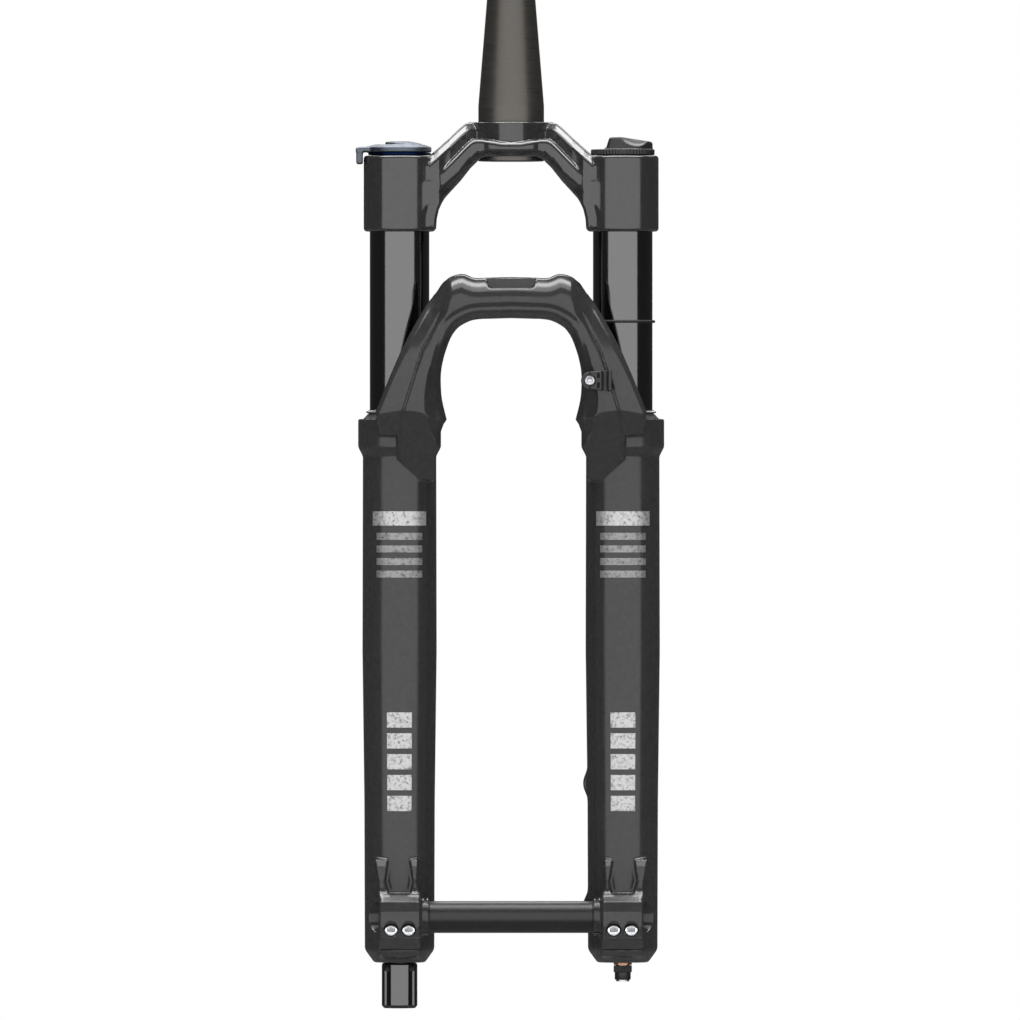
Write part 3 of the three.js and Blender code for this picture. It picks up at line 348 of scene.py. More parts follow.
def polygon_radius(angle, sides):
    """How much further out a regular polygon reaches at an angle than at the middle of a side."""
    turn = 2 * math.pi / sides
    return 1 / np.cos((angle + turn / 2) % turn - turn / 2)


def turned_vertices(rings, sides):
    """Vertices of rings about +Z. A ring is (radius, height) or (half its width, height, corners)."""
    angle = 2 * math.pi * np.arange(sides) / sides
    result = []
    for ring in rings:
        radius = ring[0] * (polygon_radius(angle, ring[2]) if len(ring) > 2 else np.ones(sides))
        result.append(np.stack([radius * np.cos(angle), radius * np.sin(angle), np.full(sides, ring[1])], 1))
    return np.concatenate(result)


def ring_faces(rings, sides, closed):
    around = np.arange(sides)
    beside = (around + 1) % sides
    faces = []
    for ring in range(rings if closed else rings - 1):
        a, b = ring * sides, (ring + 1) % rings * sides
        faces.append(np.stack([a + around, a + beside, b + beside, b + around], 1))
    return np.concatenate(faces)


def turned(name, rings, centre=(0, 0, 0), sides=96, sharp_degrees=30):
    """A solid of revolution. Its rings run up the outside and down the inside. An outline that
    starts and ends on the axis makes a solid piece, any other a hollow one."""
    hollow = rings[0][0] > 0
    vertices = turned_vertices(rings, sides) + np.array(centre)
    piece = mesh_object(name, vertices, ring_faces(len(rings), sides, hollow))
    weld = piece.modifiers.new("weld", "WELD")
    weld.merge_threshold = WELD_REACH * METRES
    applied(piece)
    return smooth(piece, sharp_degrees)


def rounded(points, radius, steps=3):
    """An outline of (radius, height) points with each corner turned into a small arc."""
    result = [points[0]]
    for before, here, after in zip(points, points[1:], points[2:]):
        a, b, c = (np.array(p[:2], float) for p in (before, here, after))
        to_a, to_c = a - b, c - b
        reach = min(radius, np.linalg.norm(to_a) * 0.45, np.linalg.norm(to_c) * 0.45)
        start = b + to_a / np.linalg.norm(to_a) * reach
        end = b + to_c / np.linalg.norm(to_c) * reach
        for step in range(steps + 1):
            t = step / steps
            result.append(tuple((1 - t) ** 2 * start + 2 * t * (1 - t) * b + t * t * end) + tuple(here[2:]))
    return result + [points[-1]]


def tipped(piece, direction, place):
    """Turns a piece drawn along +Z to point along direction, and moves it to place."""
    turn = Vector((0, 0, 1)).rotation_difference(Vector(direction)).to_matrix().to_4x4()
    piece.data.transform(Matrix.Translation(Vector(place) * METRES) @ turn)
    return piece


# ---- Materials

class Look:
    """A material built from nodes, with object coordinates to hang its detail on."""

    def __init__(self, name, color, metallic, roughness):
        self.name = name
        self.material = bpy.data.materials.new(name)
        self.material.use_nodes = True
        self.nodes = self.material.node_tree.nodes
        self.links = self.material.node_tree.links
        self.shader = self.nodes["Principled BSDF"]
        self.shader.inputs["Base Color"].default_value = (*color, 1)
        self.shader.inputs["Metallic"].default_value = metallic
        self.shader.inputs["Roughness"].default_value = roughness
        self.place = self.nodes.new("ShaderNodeTexCoord").outputs["Object"]

    def node(self, kind, **inputs):
        """A new node, with the given values on its inputs; an underscore stands for a space."""
        node = self.nodes.new(kind)
        for socket, value in inputs.items():
            node.inputs[socket.replace("_", " ")].default_value = value
        return node

    def set(self, socket, value):
        self.shader.inputs[socket].default_value = value
        return self

    def noise(self, scale, stretch=(1, 1, 1), detail=3.0, roughness=0.55):
        mapping = self.node("ShaderNodeMapping", Scale=stretch)
        self.links.new(self.place, mapping.inputs["Vector"])
        noise = self.node("ShaderNodeTexNoise", Scale=scale, Detail=detail, Roughness=roughness)
        self.links.new(mapping.outputs["Vector"], noise.inputs["Vector"])
        return noise.outputs["Fac"]

    def between(self, value, low, high, from_low=0.3, from_high=0.7):
        mapped = self.node(
            "ShaderNodeMapRange", From_Min=from_low, From_Max=from_high, To_Min=low, To_Max=high,
        )
        self.links.new(value, mapped.inputs["Value"])
        return mapped.outputs["Result"]

    def roughen(self, value, low, high):
        self.links.new(self.between(value, low, high), self.shader.inputs["Roughness"])
        return self

    def tint(self, value, first, second, low=0.3, high=0.7):
        mix = self.nodes.new("ShaderNodeMix")
        mix.data_type = "RGBA"
        mix.inputs["A"].default_value = (*first, 1)
        mix.inputs["B"].default_value = (*second, 1)
        self.links.new(self.between(value, 0, 1, low, high), mix.inputs["Factor"])
        self.links.new(mix.outputs["Result"], self.shader.inputs["Base Color"])
        return self

    def bump(self, value, strength, depth_mm):
        bump = self.node("ShaderNodeBump", Strength=strength, Distance=depth_mm * METRES)
        self.links.new(value, bump.inputs["Height"])
        self.links.new(bump.outputs["Normal"], self.shader.inputs["Normal"])
        return self


def paint(name, color, roughness, peel=0.12, shine=0.5):
    """Glossy paint: a faint orange peel, and a haze that varies slowly."""
    look = Look(name, color, 0.0, roughness).set("Specular IOR Level", shine)
    look.roughen(look.noise(55, detail=4), roughness * 0.8, roughness * 1.35)
    look.tint(look.noise(300, detail=2), color, [c * 1.25 for c in color])
    look.bump(look.noise(420, detail=1), peel, 0.02)
    return look


def brushed(name, color, roughness, stretch, scale=400, metallic=1.0, depth=0.25):
    """Metal with fine parallel marks left by turning or brushing."""
    look = Look(name, color, metallic, roughness)
    marks = look.noise(scale, stretch, detail=4, roughness=0.7)
    look.roughen(marks, roughness * (1 - 1.2 * depth), roughness * (1 + 1.6 * depth))
    look.tint(marks, [c * (1 - 0.6 * depth) for c in color], [min(1, c * (1 + 0.5 * depth)) for c in color])
    look.bump(marks, depth, 0.02)
    return look


def rubbery(name, color, roughness, scale=700):
    look = Look(name, color, 0.0, roughness)
    grain = look.noise(scale, detail=5, roughness=0.7)
    look.roughen(grain, roughness * 0.9, min(1, roughness * 1.15))
    look.tint(grain, [c * 0.8 for c in color], [c * 1.3 for c in color])
    look.bump(grain, 0.4, 0.05)
    return look


AROUND_Z = (0.05, 0.05, 6)
LOOKS = {look.name: look for look in (
    paint("gloss_black_cast", (0.025, 0.025, 0.0255), 0.17),
    paint("gloss_black_crown", (0.02, 0.02, 0.0205), 0.13, shine=0.85),
    brushed("anodised_black", (0.15, 0.15, 0.152), 0.11, AROUND_Z, depth=0.06),
    brushed("brushed_dark", (0.125, 0.118, 0.108), 0.36, AROUND_Z, scale=700, metallic=0.9),
    brushed("silver_blue", (0.13, 0.145, 0.17), 0.42, (1, 1, 1), scale=260),
    brushed("blue_anodised", (0.004, 0.011, 0.045), 0.3, AROUND_Z),
    rubbery("satin_black", (0.012, 0.012, 0.013), 0.32, 500),
    brushed("bare_aluminium", (0.55, 0.56, 0.57), 0.3, AROUND_Z),
    brushed("bolt_steel", (0.6, 0.61, 0.63), 0.3, (1, 1, 1), scale=900),
    brushed("spring_steel", (0.4, 0.41, 0.43), 0.3, (1, 1, 1), scale=900),
    brushed("copper", (0.6, 0.3, 0.16), 0.32, AROUND_Z),
    brushed("brass", (0.65, 0.47, 0.2), 0.28, AROUND_Z),
    rubbery("rubber", (0.012, 0.012, 0.012), 0.6),
    rubbery("foam", (0.03, 0.03, 0.028), 0.9, 1400),
    rubbery("bushing", (0.2, 0.17, 0.13), 0.45),
    brushed("gloss_knob", (0.13, 0.13, 0.133), 0.1, AROUND_Z, depth=0.05),
    rubbery("black_plastic", (0.014, 0.014, 0.015), 0.35, 900),
    rubbery("orange_plastic", (0.5, 0.16, 0.03), 0.45, 900),
)}


def finished(piece, node, body):
    """Gives a piece the look and slot of the CAD node that it stands for, and lets it ride."""
    slot = SLOT_OF[node]
    piece.data.materials.clear()
    piece.data.materials.append(LOOKS[slot].material)
    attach(piece, body)
    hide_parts(node)


SLOT_OF = {part["node"]: part["material_slot"] for part in frame["record"]["subparts"]}


# ---- Lower casting. u is outboard of the leg's axis, v is behind it, and h is above the seal heads.

NECK_TOP = HEAD_TOP - 15.8
NECK_HEIGHT = 7.8
FOOT_FACE_R = 15.4
FOOT_SLOPE = (FOOT_R - FOOT_FACE_R) / 7.8
FOOT_BORE_R = 8.2
STUD_BORE_R = 4.3
FOOT_WALL = 8
BORE_FLOOR = AXLE_Z + AXLE_R + 6
SEAL_BORE_R = BORE_R + 2.8
UPPER_SEAT_LOW = corners("upper_bushing_air")[0][2] - 1
LOWER_SEAT_LOW = corners("lower_bushing_air")[0][2] - 1
LOWER_SEAT_HIGH = corners("lower_bushing_air")[1][2] + 1
SEAL_BORE_DEPTH = 14.6
ARCH_BACK = ARCH_FRONT + 16
ARCH_FRONT_DEPTH = -ARCH_FRONT
ARCH_TOP = CASTING_HIGH[2] - HEAD_TOP

# Points of (u, h). The top of the arch, from its middle out and down to the head's outer side.
ARCH_CREST = [
    (-LEG_X, ARCH_TOP - 1.8), (-53.5, ARCH_TOP - 2.2), (-46.5, ARCH_TOP - 2.5), (-42.7, ARCH_TOP - 1.5),
    (-39, ARCH_TOP), (-33.6, ARCH_TOP - 0.7), (-27, ARCH_TOP - 4.1), (-20.9, ARCH_TOP - 11),
    (-17.9, ARCH_TOP - 15.7), (-0.2, 39.2), (14.2, 4.2),
]
# From there back in along the leg's front, where the arch fades into it.
ARCH_ROOT = [(12.4, -8), (11.4, -9.6), (1.3, -10.2), (0.7, -24), (-12.5, -36), (-15, -37), (-LEG_X - 30, -37)]
# The wheel space under the arch.
ARCH_INSIDE = [
    (-LEG_X, 60.8), (-54.8, 60.4), (-48.7, 60.2), (-42.7, 59.1), (-36.6, 55.9), (-33.6, 52.9), (-30.6, 48),
    (-27, 37.6), (-25.2, 28.2), (-25.1, 20), (-25.8, 11.4), (-28.6, -0.4),
]
HEAD_INSIDE = [(-26.6, -3.4), (-25, -8), (-24.9, -15.8), (-21.5, -24), (-21.5, -80)]
# Crease down the middle of the arch's leg.
ARCH_CREASE = [(-29, 72), (-24, 62), (-13.7, 41), (-3.1, 7.2), (0.4, -13.9), (0.4, -40)]


def closed_inside(points, far):
    return [(-LEG_X - far, points[0][1]), *points, (-LEG_X - far, points[-1][1])]


OUTER_ARCH = [(-LEG_X - 30, ARCH_TOP - 1.8), *curve(ARCH_CREST, 3), *ARCH_ROOT]
INNER_ARCH = closed_inside(curve(ARCH_INSIDE, 3) + HEAD_INSIDE, 30)


def leg_radius(z):
    length = NECK_TOP - NECK_HEIGHT - FOOT_Z
    places = [FOOT_Z, FOOT_Z + 0.32 * length, FOOT_Z + 0.62 * length, FOOT_Z + length]
    straight = np.interp(z, places, [FOOT_R, FOOT_R + 0.3, LEG_R + 0.25, LEG_R])
    share = np.clip((z - NECK_TOP + NECK_HEIGHT) / NECK_HEIGHT, 0, 1)
    return straight + (HEAD_R - LEG_R) * eased(share)


def leg_field(r, z):
    foot = (r - FOOT_FACE_R - FOOT_SLOPE * (z - FOOT_Z)) * 0.81
    return all_of(1.2, r - leg_radius(z), foot, FOOT_Z - z, z - HEAD_TOP)


def leg_bores(r, z):
    return np.minimum.reduce([
        all_of(0.4, r - SEAL_BORE_R, slab(z, HEAD_TOP - SEAL_BORE_DEPTH, HEAD_TOP + 5)),
        np.maximum(r - BORE_R, slab(z, UPPER_SEAT_LOW, HEAD_TOP - 10)),
        np.maximum(r - BORE_R, slab(z, LOWER_SEAT_LOW, LOWER_SEAT_HIGH)),
        np.maximum(r - STANCHION_R - 0.4, slab(z, BORE_FLOOR, HEAD_TOP - 10)),
        np.maximum(r - FOOT_BORE_R, slab(z, FOOT_Z + FOOT_WALL, BORE_FLOOR + 5)),
        np.maximum(r - STUD_BORE_R, slab(z, FOOT_Z - 5, FOOT_Z + FOOT_WALL + 2)),
    ])


def arch_depth(u, h, from_crest, from_inside):
    """How far forward the arch's faceted front reaches."""
    crease, _ = to_line(u, h, ARCH_CREASE)
    over_wheel = eased(np.clip((-17 - u) / 15, 0, 1))
    top_width = 3.6 + 10.4 * over_wheel
    inner_width = np.interp(h, [-10, 4, 34, 60], [13, 13, 7.2, 7.2])
    inner_slope = np.interp(h, [4, 34], [0.95, 1.35])
    leaning = 0.0042 * np.maximum(h - 18, 0) ** 2 * (1 - over_wheel)
    facets = [
        ARCH_FRONT_DEPTH - leaning - 0.09 * np.minimum(crease, 14) * (1 - over_wheel),
        ARCH_FRONT_DEPTH - inner_slope * (inner_width - from_inside) - leaning,
        ARCH_FRONT_DEPTH + 0.47 * (h - 6),
    ]
    front = -all_of(0.7, *[-facet for facet in facets])
    edge = np.clip(from_crest / top_width, 0, 1)
    flat, round_edge = edge - 1, np.sqrt(np.maximum(edge * (2 - edge), 0)) - 1
    outer = ARCH_FRONT_DEPTH - leaning + top_width * (flat + (round_edge - flat) * 0.75 * over_wheel)
    front = -smooth_max(-front, -outer, 0.8 + 2 * over_wheel)
    groove = np.exp(-(crease / 0.95) ** 2) * 1.0 * (1 - over_wheel)
    channel = np.exp(-((from_inside - 7.2) / 1.6) ** 2) * 1.7 * over_wheel
    lip = np.exp(-((from_inside - 3.6) / 1.5) ** 2) * 1.0 * over_wheel
    return front - groove - channel + lip


def arch_pockets(x, u, h, y, from_crest, from_inside):
    """Hollows: between ribs in the arch's back, and one in the top over the wheel."""
    ribs = np.minimum.reduce([np.abs(h - place) for place in (19, 33, 47)])
    ribs = np.where(u < -34, np.minimum.reduce([np.abs(np.abs(x) - place) for place in (0, 15, 30)]), ribs)
    wall = np.minimum(from_crest, from_inside)
    back = all_of(1.5, 4.2 - wall, 1.3 - ribs, ARCH_FRONT + 9.5 - y, y - ARCH_BACK - 3, 9 - h, h - 56)
    rear_wall = y - ARCH_BACK + 4.2
    front_lip = all_of(1.2, np.abs(x) - 13.5 - 0.35 * (h - ARCH_TOP + 8), ARCH_TOP - 8.6 - h, rear_wall)
    well = all_of(1.2, np.abs(x) - 11.5, ARCH_TOP - 12.5 - h, rear_wall, ARCH_FRONT + 5.5 - y)
    return np.minimum(back, np.minimum(front_lip, well))


def arch_field(x, u, y, z):
    h = z - HEAD_TOP
    from_crest = -polygon(u, h, OUTER_ARCH)
    from_inside = polygon(u, h, INNER_ARCH)
    front = -y - arch_depth(u, h, from_crest, from_inside)
    upright = all_of(1.2, -from_crest, -from_inside, front, y - ARCH_BACK)
    root = all_of(1.2, -from_crest, -from_inside, front, h + 0.5, y - LEG_Y + STANCHION_R / 2)
    body = np.minimum(upright, root)
    return smooth_max(body, -arch_pockets(x, u, h, y, from_crest, from_inside), 1.0)


# The pinch clamp. forward and up are from the axle, and head_way is where the bolts' heads face.
PINCH_TILT = math.radians(35)
CLAMP_R = AXLE_R + 4.1
CLAMP_SPAN = (-12.8, 12.1)
HUB_RING_END = CLAMP_SPAN[0] - 4.8
CLAMP = [
    (-11, CLAMP_R), (9.5, CLAMP_R), (11.2, 13.2), (15.3, 9.5), (18.3, 3.7), (18.7, -5), (21.5, -12.4),
    (20.6, -14), (13.5, -19.8), (9.5, -23.3), (0, -24.8), (-11, -24.8),
]
RIB = [(-8, 37), (1.5, 34.5), (4.5, 30.5), (8, 18), (11, 10), (-8, 10)]
# Middle and half the width of each rib, at its foot, its waist and its top.
RIB_HEIGHTS = (13, 22, 34)
RIBS = (((9.3, 10.6, 10.9), (3.1, 2.0, 4.0)), ((-9.4, -9.5, -8.8), (2.6, 1.2, 2.6)))
PINCH_PLACES = (-5.65, 4.95)
PINCH_OFFSET = AXLE_R + 7
PINCH_SEAT = 6
PINCH_BORE_R = 4.4
PINCH_SHANK_BORE_R = 2.8
PINCH_HEAD_RISE = 5.3
PINCH_SLOT = 1.5
POST_X = LEG_X - 15.9
POST_R = 7.9
POST_THREAD_R = 2.6
POST_HEIGHTS = (AXLE_Z + 6.5, AXLE_Z + 80.5)
GUIDE_X, _, GUIDE_Z = middle("hose_guide_bolt")


def pinch_ways(forward, up):
    """Distances from the slot's middle along the bolts' heads, and out along the slot."""
    along = forward * math.cos(PINCH_TILT) + up * math.sin(PINCH_TILT)
    out = forward * math.sin(PINCH_TILT) - up * math.cos(PINCH_TILT)
    return along, out


def clamp_field(u, forward, up):
    block = all_of(2.2, polygon(forward, up, CLAMP), slab(u, *CLAMP_SPAN))
    rib_side = polygon(forward, up, RIB)
    ribs = []
    for middles, halves in RIBS:
        off_middle = np.abs(u - np.interp(up, RIB_HEIGHTS, middles))
        ribs.append(all_of(1.8, rib_side, off_middle - np.interp(up, RIB_HEIGHTS, halves)))
    ring = all_of(0.8, np.hypot(forward, up) - AXLE_R - 1.8, slab(u, HUB_RING_END, 0))
    return any_of(2.4, block, *ribs, ring)


def clamp_cuts(u, forward, up):
    along, out = pinch_ways(forward, up)
    cuts = [
        np.hypot(forward, up) - AXLE_R - GAP,
        np.maximum(slab(along, -PINCH_SLOT / 2, PINCH_SLOT / 2), -out) + 0 * u,
    ]
    for place in PINCH_PLACES:
        r = np.hypot(u - place, out - PINCH_OFFSET)
        cuts.append(all_of(0.3, r - PINCH_BORE_R, PINCH_SEAT - along))
        cuts.append(np.maximum(r - PINCH_SHANK_BORE_R, slab(along, -11, 7)))
    return cuts


def post_field(x, y, z):
    posts = []
    for height in POST_HEIGHTS:
        r = np.hypot(x - POST_X, z - height)
        posts.append(all_of(0.8, r - POST_R, slab(y, LEG_Y - 4, POST_FACE)))
    web = all_of(2, slab(x, POST_X - 1.5, POST_X + 5), slab(z, POST_HEIGHTS[0], POST_HEIGHTS[1]),
                 slab(y, LEG_Y, POST_FACE - 9))
    return any_of(3, *posts, web)


def post_threads(x, y, z):
    from_post = np.minimum.reduce([np.hypot(x - POST_X, z - height) for height in POST_HEIGHTS])
    return np.maximum(from_post - POST_THREAD_R, POST_FACE - 12 - y)


def casting_field(x, y, z):
    u, v = np.abs(x) - LEG_X, y - LEG_Y
    forward, up = AXLE_Y - y, z - AXLE_Z
    r = np.hypot(u, v)
    body = smooth_min(leg_field(r, z), arch_field(x, u, y, z), 2.0)
    body = smooth_min(body, clamp_field(u, forward, up), 2.2)
    body = smooth_min(body, post_field(x, y, z), 4.0)
    guide_hole = np.maximum(np.hypot(x - GUIDE_X, z - GUIDE_Z) - 2.2, y - ARCH_FRONT - 7)
    cuts = [leg_bores(r, z), post_threads(x, y, z), guide_hole, *clamp_cuts(u, forward, up)]
    for cut in cuts:
        body = smooth_max(body, -cut, 0.5)
    return body


def casting():
    coarse = 1.0
    fine = 0.95 * coarse
    z_low, z_high = FOOT_Z - 2, CASTING_HIGH[2] + 2
    clamp_top, root = AXLE_Z + 48, HEAD_TOP - 50
    post_low, post_high = POST_HEIGHTS[1] - 12, POST_HEIGHTS[1] + 12
    side = LEG_X + HEAD_R + 2
    inner = LEG_X - HEAD_R
    axes = (
        grid_line((-side, -inner, fine), (-inner, inner, 1.3 * fine), (inner, side, fine)),
        grid_line((ARCH_FRONT - 5, LEG_Y - 15, fine), (LEG_Y - 15, POST_FACE + 2, 1.3 * fine)),
        grid_line((z_low, clamp_top, fine), (clamp_top, post_low, 3.5), (post_low, post_high, fine),
                  (post_high, root, 5), (root, z_high, fine)),
    )
    piece = field_piece("lower_casting_skin", casting_field, axes, 190000)
    finished(piece, "lower_casting", "lowers")


# ---- Crown. a is the distance from the middle, to either side.

CROWN_TOP = [(0, 0), (24.8, 0), (27.5, -0.6), (30.9, -3.4), (36.9, -9.2), (44.2, -15.9), (50, -21)]
CROWN_UNDER = [
    (0, -20.6), (15, -20.8), (20, -22.6), (24.8, -27.2), (30.9, -35), (36.9, -41.5), (40.5, -45.5),
    (42.3, -48.5), (44.2, -52.7), (45.4, -58), (46, -64),
]
FLANGE_TOP = curve([
    (0, -12.2), (6, -12.0), (12, -10.8), (18.9, -10), (24.5, -11.4), (32.9, -19.7), (37.9, -24.8), (48, -35),
])
NOSE = 25.6
NOSE_POWER = 1.5
FLANGE_R = 27.6


def height_line(a, line):
    """Height of a line of (a, height) points, and how much its slope shortens a distance to it."""
    places, heights = np.array(line).T
    height = np.interp(a, places, heights)
    ahead = np.interp(a + 1, places, heights)
    return height, 1 / np.hypot(1, ahead - height)


def nose_field(x, y):
    """Upright round whose front is more pointed than a circle."""
    reach = np.abs(x / NOSE) ** NOSE_POWER + np.abs(y / NOSE) ** NOSE_POWER
    return reach ** (1 / NOSE_POWER) * NOSE - NOSE


def crown_arm(a, y, z):
    """Web with a chamfered top, and in front of it a flange that runs along its lower half."""
    top, top_lean = height_line(a, CROWN_TOP)
    under, under_lean = height_line(a, CROWN_UNDER)
    flange, flange_lean = height_line(a, FLANGE_TOP)
    forward = -y
    above = (z - top) * top_lean
    below = (under - z) * under_lean
    from_under, _ = to_line(a, z, CROWN_UNDER)
    below = np.where(a > 40, np.where(under > z, from_under, -from_under), below)
    back = y - 15 + 0.21 * a
    ends = a - LEG_X + 12
    web_reach = np.interp(a, [17, 37, 43.5, 52.6], [8.5, 22.5, 30, 32.4])
    web_front = (forward - web_reach) * 0.79
    face_end = np.interp(z, [-62, -45, -30], [10, 6, 3.6])
    web = all_of(1.4, above, below, web_front, (web_front + above) * 0.72 + 3.4,
                 0.4 * web_front + 0.9 * above + 1.3, back, ends)
    arm_front = (forward - 16.4 - 0.312 * a) * 0.955
    nose_front = np.hypot(a, y) - FLANGE_R
    front = smooth_min(arm_front, nose_front, 1.0)
    lip = smooth_max((z - flange) * flange_lean, front, 4.2)
    lip = all_of(1.2, lip, below, (front + face_end + below) * 0.72, -forward, ends)
    return smooth_min(web, lip, 1.8)


def crown_field(x, y, z):
    a = np.abs(x)
    from_steerer = np.hypot(x, y)
    from_leg = np.hypot(a - LEG_X, y - LEG_Y)
    barrel = all_of(1.2, np.where(y < 0, nose_field(x, y), from_steerer - BARREL_R), z, CROWN_UNDER[0][1] - z)
    boss = all_of(2.4, from_leg - BOSS_R, z - BOSS_TOP, BOSS_BOTTOM - z)
    body = smooth_min(smooth_min(barrel, crown_arm(a, y, z), 0.9), boss, 1.4)
    bores = [
        from_steerer - STEERER_R - GAP + 0 * z,
        from_leg - STANCHION_R - GAP + 0 * z,
        all_of(0.6, from_leg - STANCHION_R - 1.8, BOSS_TOP - z),
    ]
    for bore in bores:
        body = smooth_max(body, -bore, 0.6)
    return body


def crown():
    side = LEG_X + BOSS_R + 2
    low, high = (-side, CROWN_LOW[1] - 2, BOSS_BOTTOM - 2), (side, BARREL_R + 2, 2)
    axes = box_axes(low, high, 0.85)
    piece = field_piece("crown_skin", crown_field, axes, 160000)
    finished(piece, "crown", "uppers")


# ---- Uppers' other pieces

def steerer():
    top_r, base_r = 14.3, STEERER_R
    top_wall, base_wall = 2.6, 4
    base_end, taper_end = 10, 79
    top, bottom = STEERER_HIGH[2], STEERER_LOW[2]
    bore, top_bore = base_r - base_wall, top_r - top_wall
    outline = rounded([
        (bore, bottom), (base_r, bottom), (base_r, base_end), (top_r, taper_end), (top_r, top),
        (top_bore, top), (top_bore, taper_end), (bore, base_end), (bore, bottom + 1),
    ], 0.7)
    finished(turned("steerer", outline), "steerer_tube", "uppers")


def stanchion(leg, x):
    low, high = STANCHION_LOW[2], STANCHION_HIGH[2]
    inner = STANCHION_R - 2
    outline = rounded([
        (inner, low), (STANCHION_R, low), (STANCHION_R, high), (inner, high), (inner, low + 1),
    ], 0.8)
    node = f"stanchion_{leg}"
    finished(turned(f"{node}_skin", outline, (x, LEG_Y, 0), 128), node, "uppers")


LEVER_LOW, LEVER_HIGH = corners("compression_lever")
CONTROL_R = STANCHION_R + 1.3
TAB_HALF = 8.2
TAB_RIBS = (-5, -2.5, 0, 2.5, 5)


def lever_field(x, y, z):
    """A domed disc with a crescent cut into its top, a thumb tab outboard, and a ribbed tab edge."""
    u, v = x + LEG_X, y - LEG_Y
    r = np.hypot(u, v)
    bottom, top = BOSS_TOP + 2.0, LEVER_HIGH[2]
    dome = z - top + 0.0105 * r * r
    disc = all_of(0.9, r - CONTROL_R, dome, bottom - z)
    crescent = all_of(0.8, r - 14.5, 11.2 - np.hypot(u - 2.6, v + 0.5), top - 2.4 - z)
    eye = all_of(0.5, r - 5.2, top - 0.9 - z)
    tab_top = top - 3.4 - 0.12 * (r - CONTROL_R)
    tab_end = LEVER_LOW[0] + LEG_X
    tab_width = slab(v, -TAB_HALF, TAB_HALF)
    tab = all_of(1.4, tab_width, u + 8, tab_end - u, z - tab_top, bottom - z)
    finger = all_of(1.4, tab_width, slab(u, tab_end, -BOSS_R - 0.5), z - tab_top, LEVER_LOW[2] - z)
    ribs = [all_of(0.4, np.hypot(u - tab_end, v - place) - 0.7, z - bottom - 1) for place in TAB_RIBS]
    body = smooth_min(smooth_min(disc, tab, 1.5), finger, 1.2)
    for cut in (crescent, eye, *ribs):
        body = smooth_max(body, -cut, 0.5)
    return body


def compression_lever():
    span = CONTROL_R + 1
    low = (LEVER_LOW[0] - 1, LEG_Y - span, LEVER_LOW[2] - 1)
    axes = box_axes(low, (span - LEG_X, LEG_Y + span, LEVER_HIGH[2] + 1), 0.5)
    piece = field_piece("compression_lever_skin", lever_field, axes, 60000)
    finished(piece, "compression_lever", "compression_lever")


CAP_LOW, CAP_HIGH = corners("air_valve_cap")


def valve_cap_field(x, y, z):
    """A disc with a knurled edge, and a half-moon grip that falls away to one side."""
    u, v = x - LEG_X, y - LEG_Y
    r = np.hypot(u, v)
    bottom, disc_top = CAP_LOW[2], CAP_LOW[2] + 3.4
    angle = np.arctan2(v, u)
    edge = CONTROL_R - 0.2 + 0.18 * np.cos(60 * angle)
    disc = all_of(0.7, r - edge, z - disc_top, bottom - z)
    steep = -(u + CONTROL_R * 0.42) * 0.95 + (z - CAP_HIGH[2]) * 0.3
    fall = np.where(u > 0, 0.155 * u, -0.02 * u)
    grip = all_of(1.6, r - CONTROL_R + 1.2, z - CAP_HIGH[2] + fall, bottom - z, steep)
    scoop_height = z - CAP_HIGH[2] - 9
    scoops = [np.sqrt((u - 9) ** 2 + (v - side) ** 2 + scoop_height ** 2) - 14.5 for side in (-17, 17)]
    hollow = np.minimum(
        np.maximum(r - 17.6, slab(z, bottom - 2, bottom + 1.9)),
        np.maximum(r - 11.3, slab(z, bottom - 2, bottom + 4.8)),
    )
    body = smooth_min(disc, grip, 1.0)
    for cut in (*scoops, hollow):
        body = smooth_max(body, -cut, 0.6)
    return smooth_min(body, np.maximum(r - 8, slab(z, bottom + 4.9, bottom + 6.5)), 0.3)


def valve_cap():
    span = CONTROL_R + 1
    low = (LEG_X - span, LEG_Y - span, CAP_LOW[2] - 1)
    axes = box_axes(low, (LEG_X + span, LEG_Y + span, CAP_HIGH[2] + 1), 0.5)
    piece = field_piece("air_valve_cap_skin", valve_cap_field, axes, 60000)
    finished(piece, "air_valve_cap", "air_valve_cap")


def damper_cap():
    low, high = corners("damper_top_cap")
    bore, plug_r, rim_r, seat = 3.3, 15.7, CONTROL_R - 0.3, BOSS_TOP + GAP
    outline = rounded([
        (bore, low[2]), (plug_r, low[2]), (plug_r, seat), (rim_r, seat), (rim_r, high[2]), (bore, high[2]),
        (bore, low[2] + 1),
    ], 0.4)
    piece = turned("damper_top_cap_skin", outline, (-LEG_X, LEG_Y, 0))
    finished(piece, "damper_top_cap", "uppers")


# ---- Pieces on the lower casting

def wiper_seal(leg, x):
    lip, outer = STANCHION_R + GAP, SEAL_BORE_R - GAP
    bottom = WIPER_LOW[2]
    outline = rounded([
        (lip + 0.6, bottom), (outer, bottom), (outer, HEAD_TOP + 0.2),
        (lip + 3.1, HEAD_TOP + 0.7), (lip + 2.4, HEAD_TOP + 1.4), (lip + 1.1, HEAD_TOP + 2.9),
        (lip + 0.5, HEAD_TOP + 3.1), (lip + 0.5, HEAD_TOP + 4.7), (lip + 0.7, HEAD_TOP + 5.1),
        (lip + 0.3, WIPER_HIGH[2]), (lip + 0.05, WIPER_HIGH[2] - 0.3), (lip + 0.6, HEAD_TOP + 2),
        (lip + 0.6, bottom + 1),
    ], 0.35)
    node = f"wiper_seal_{leg}"
    finished(turned(f"{node}_skin", outline, (x, LEG_Y, 0), 128), node, "lowers")


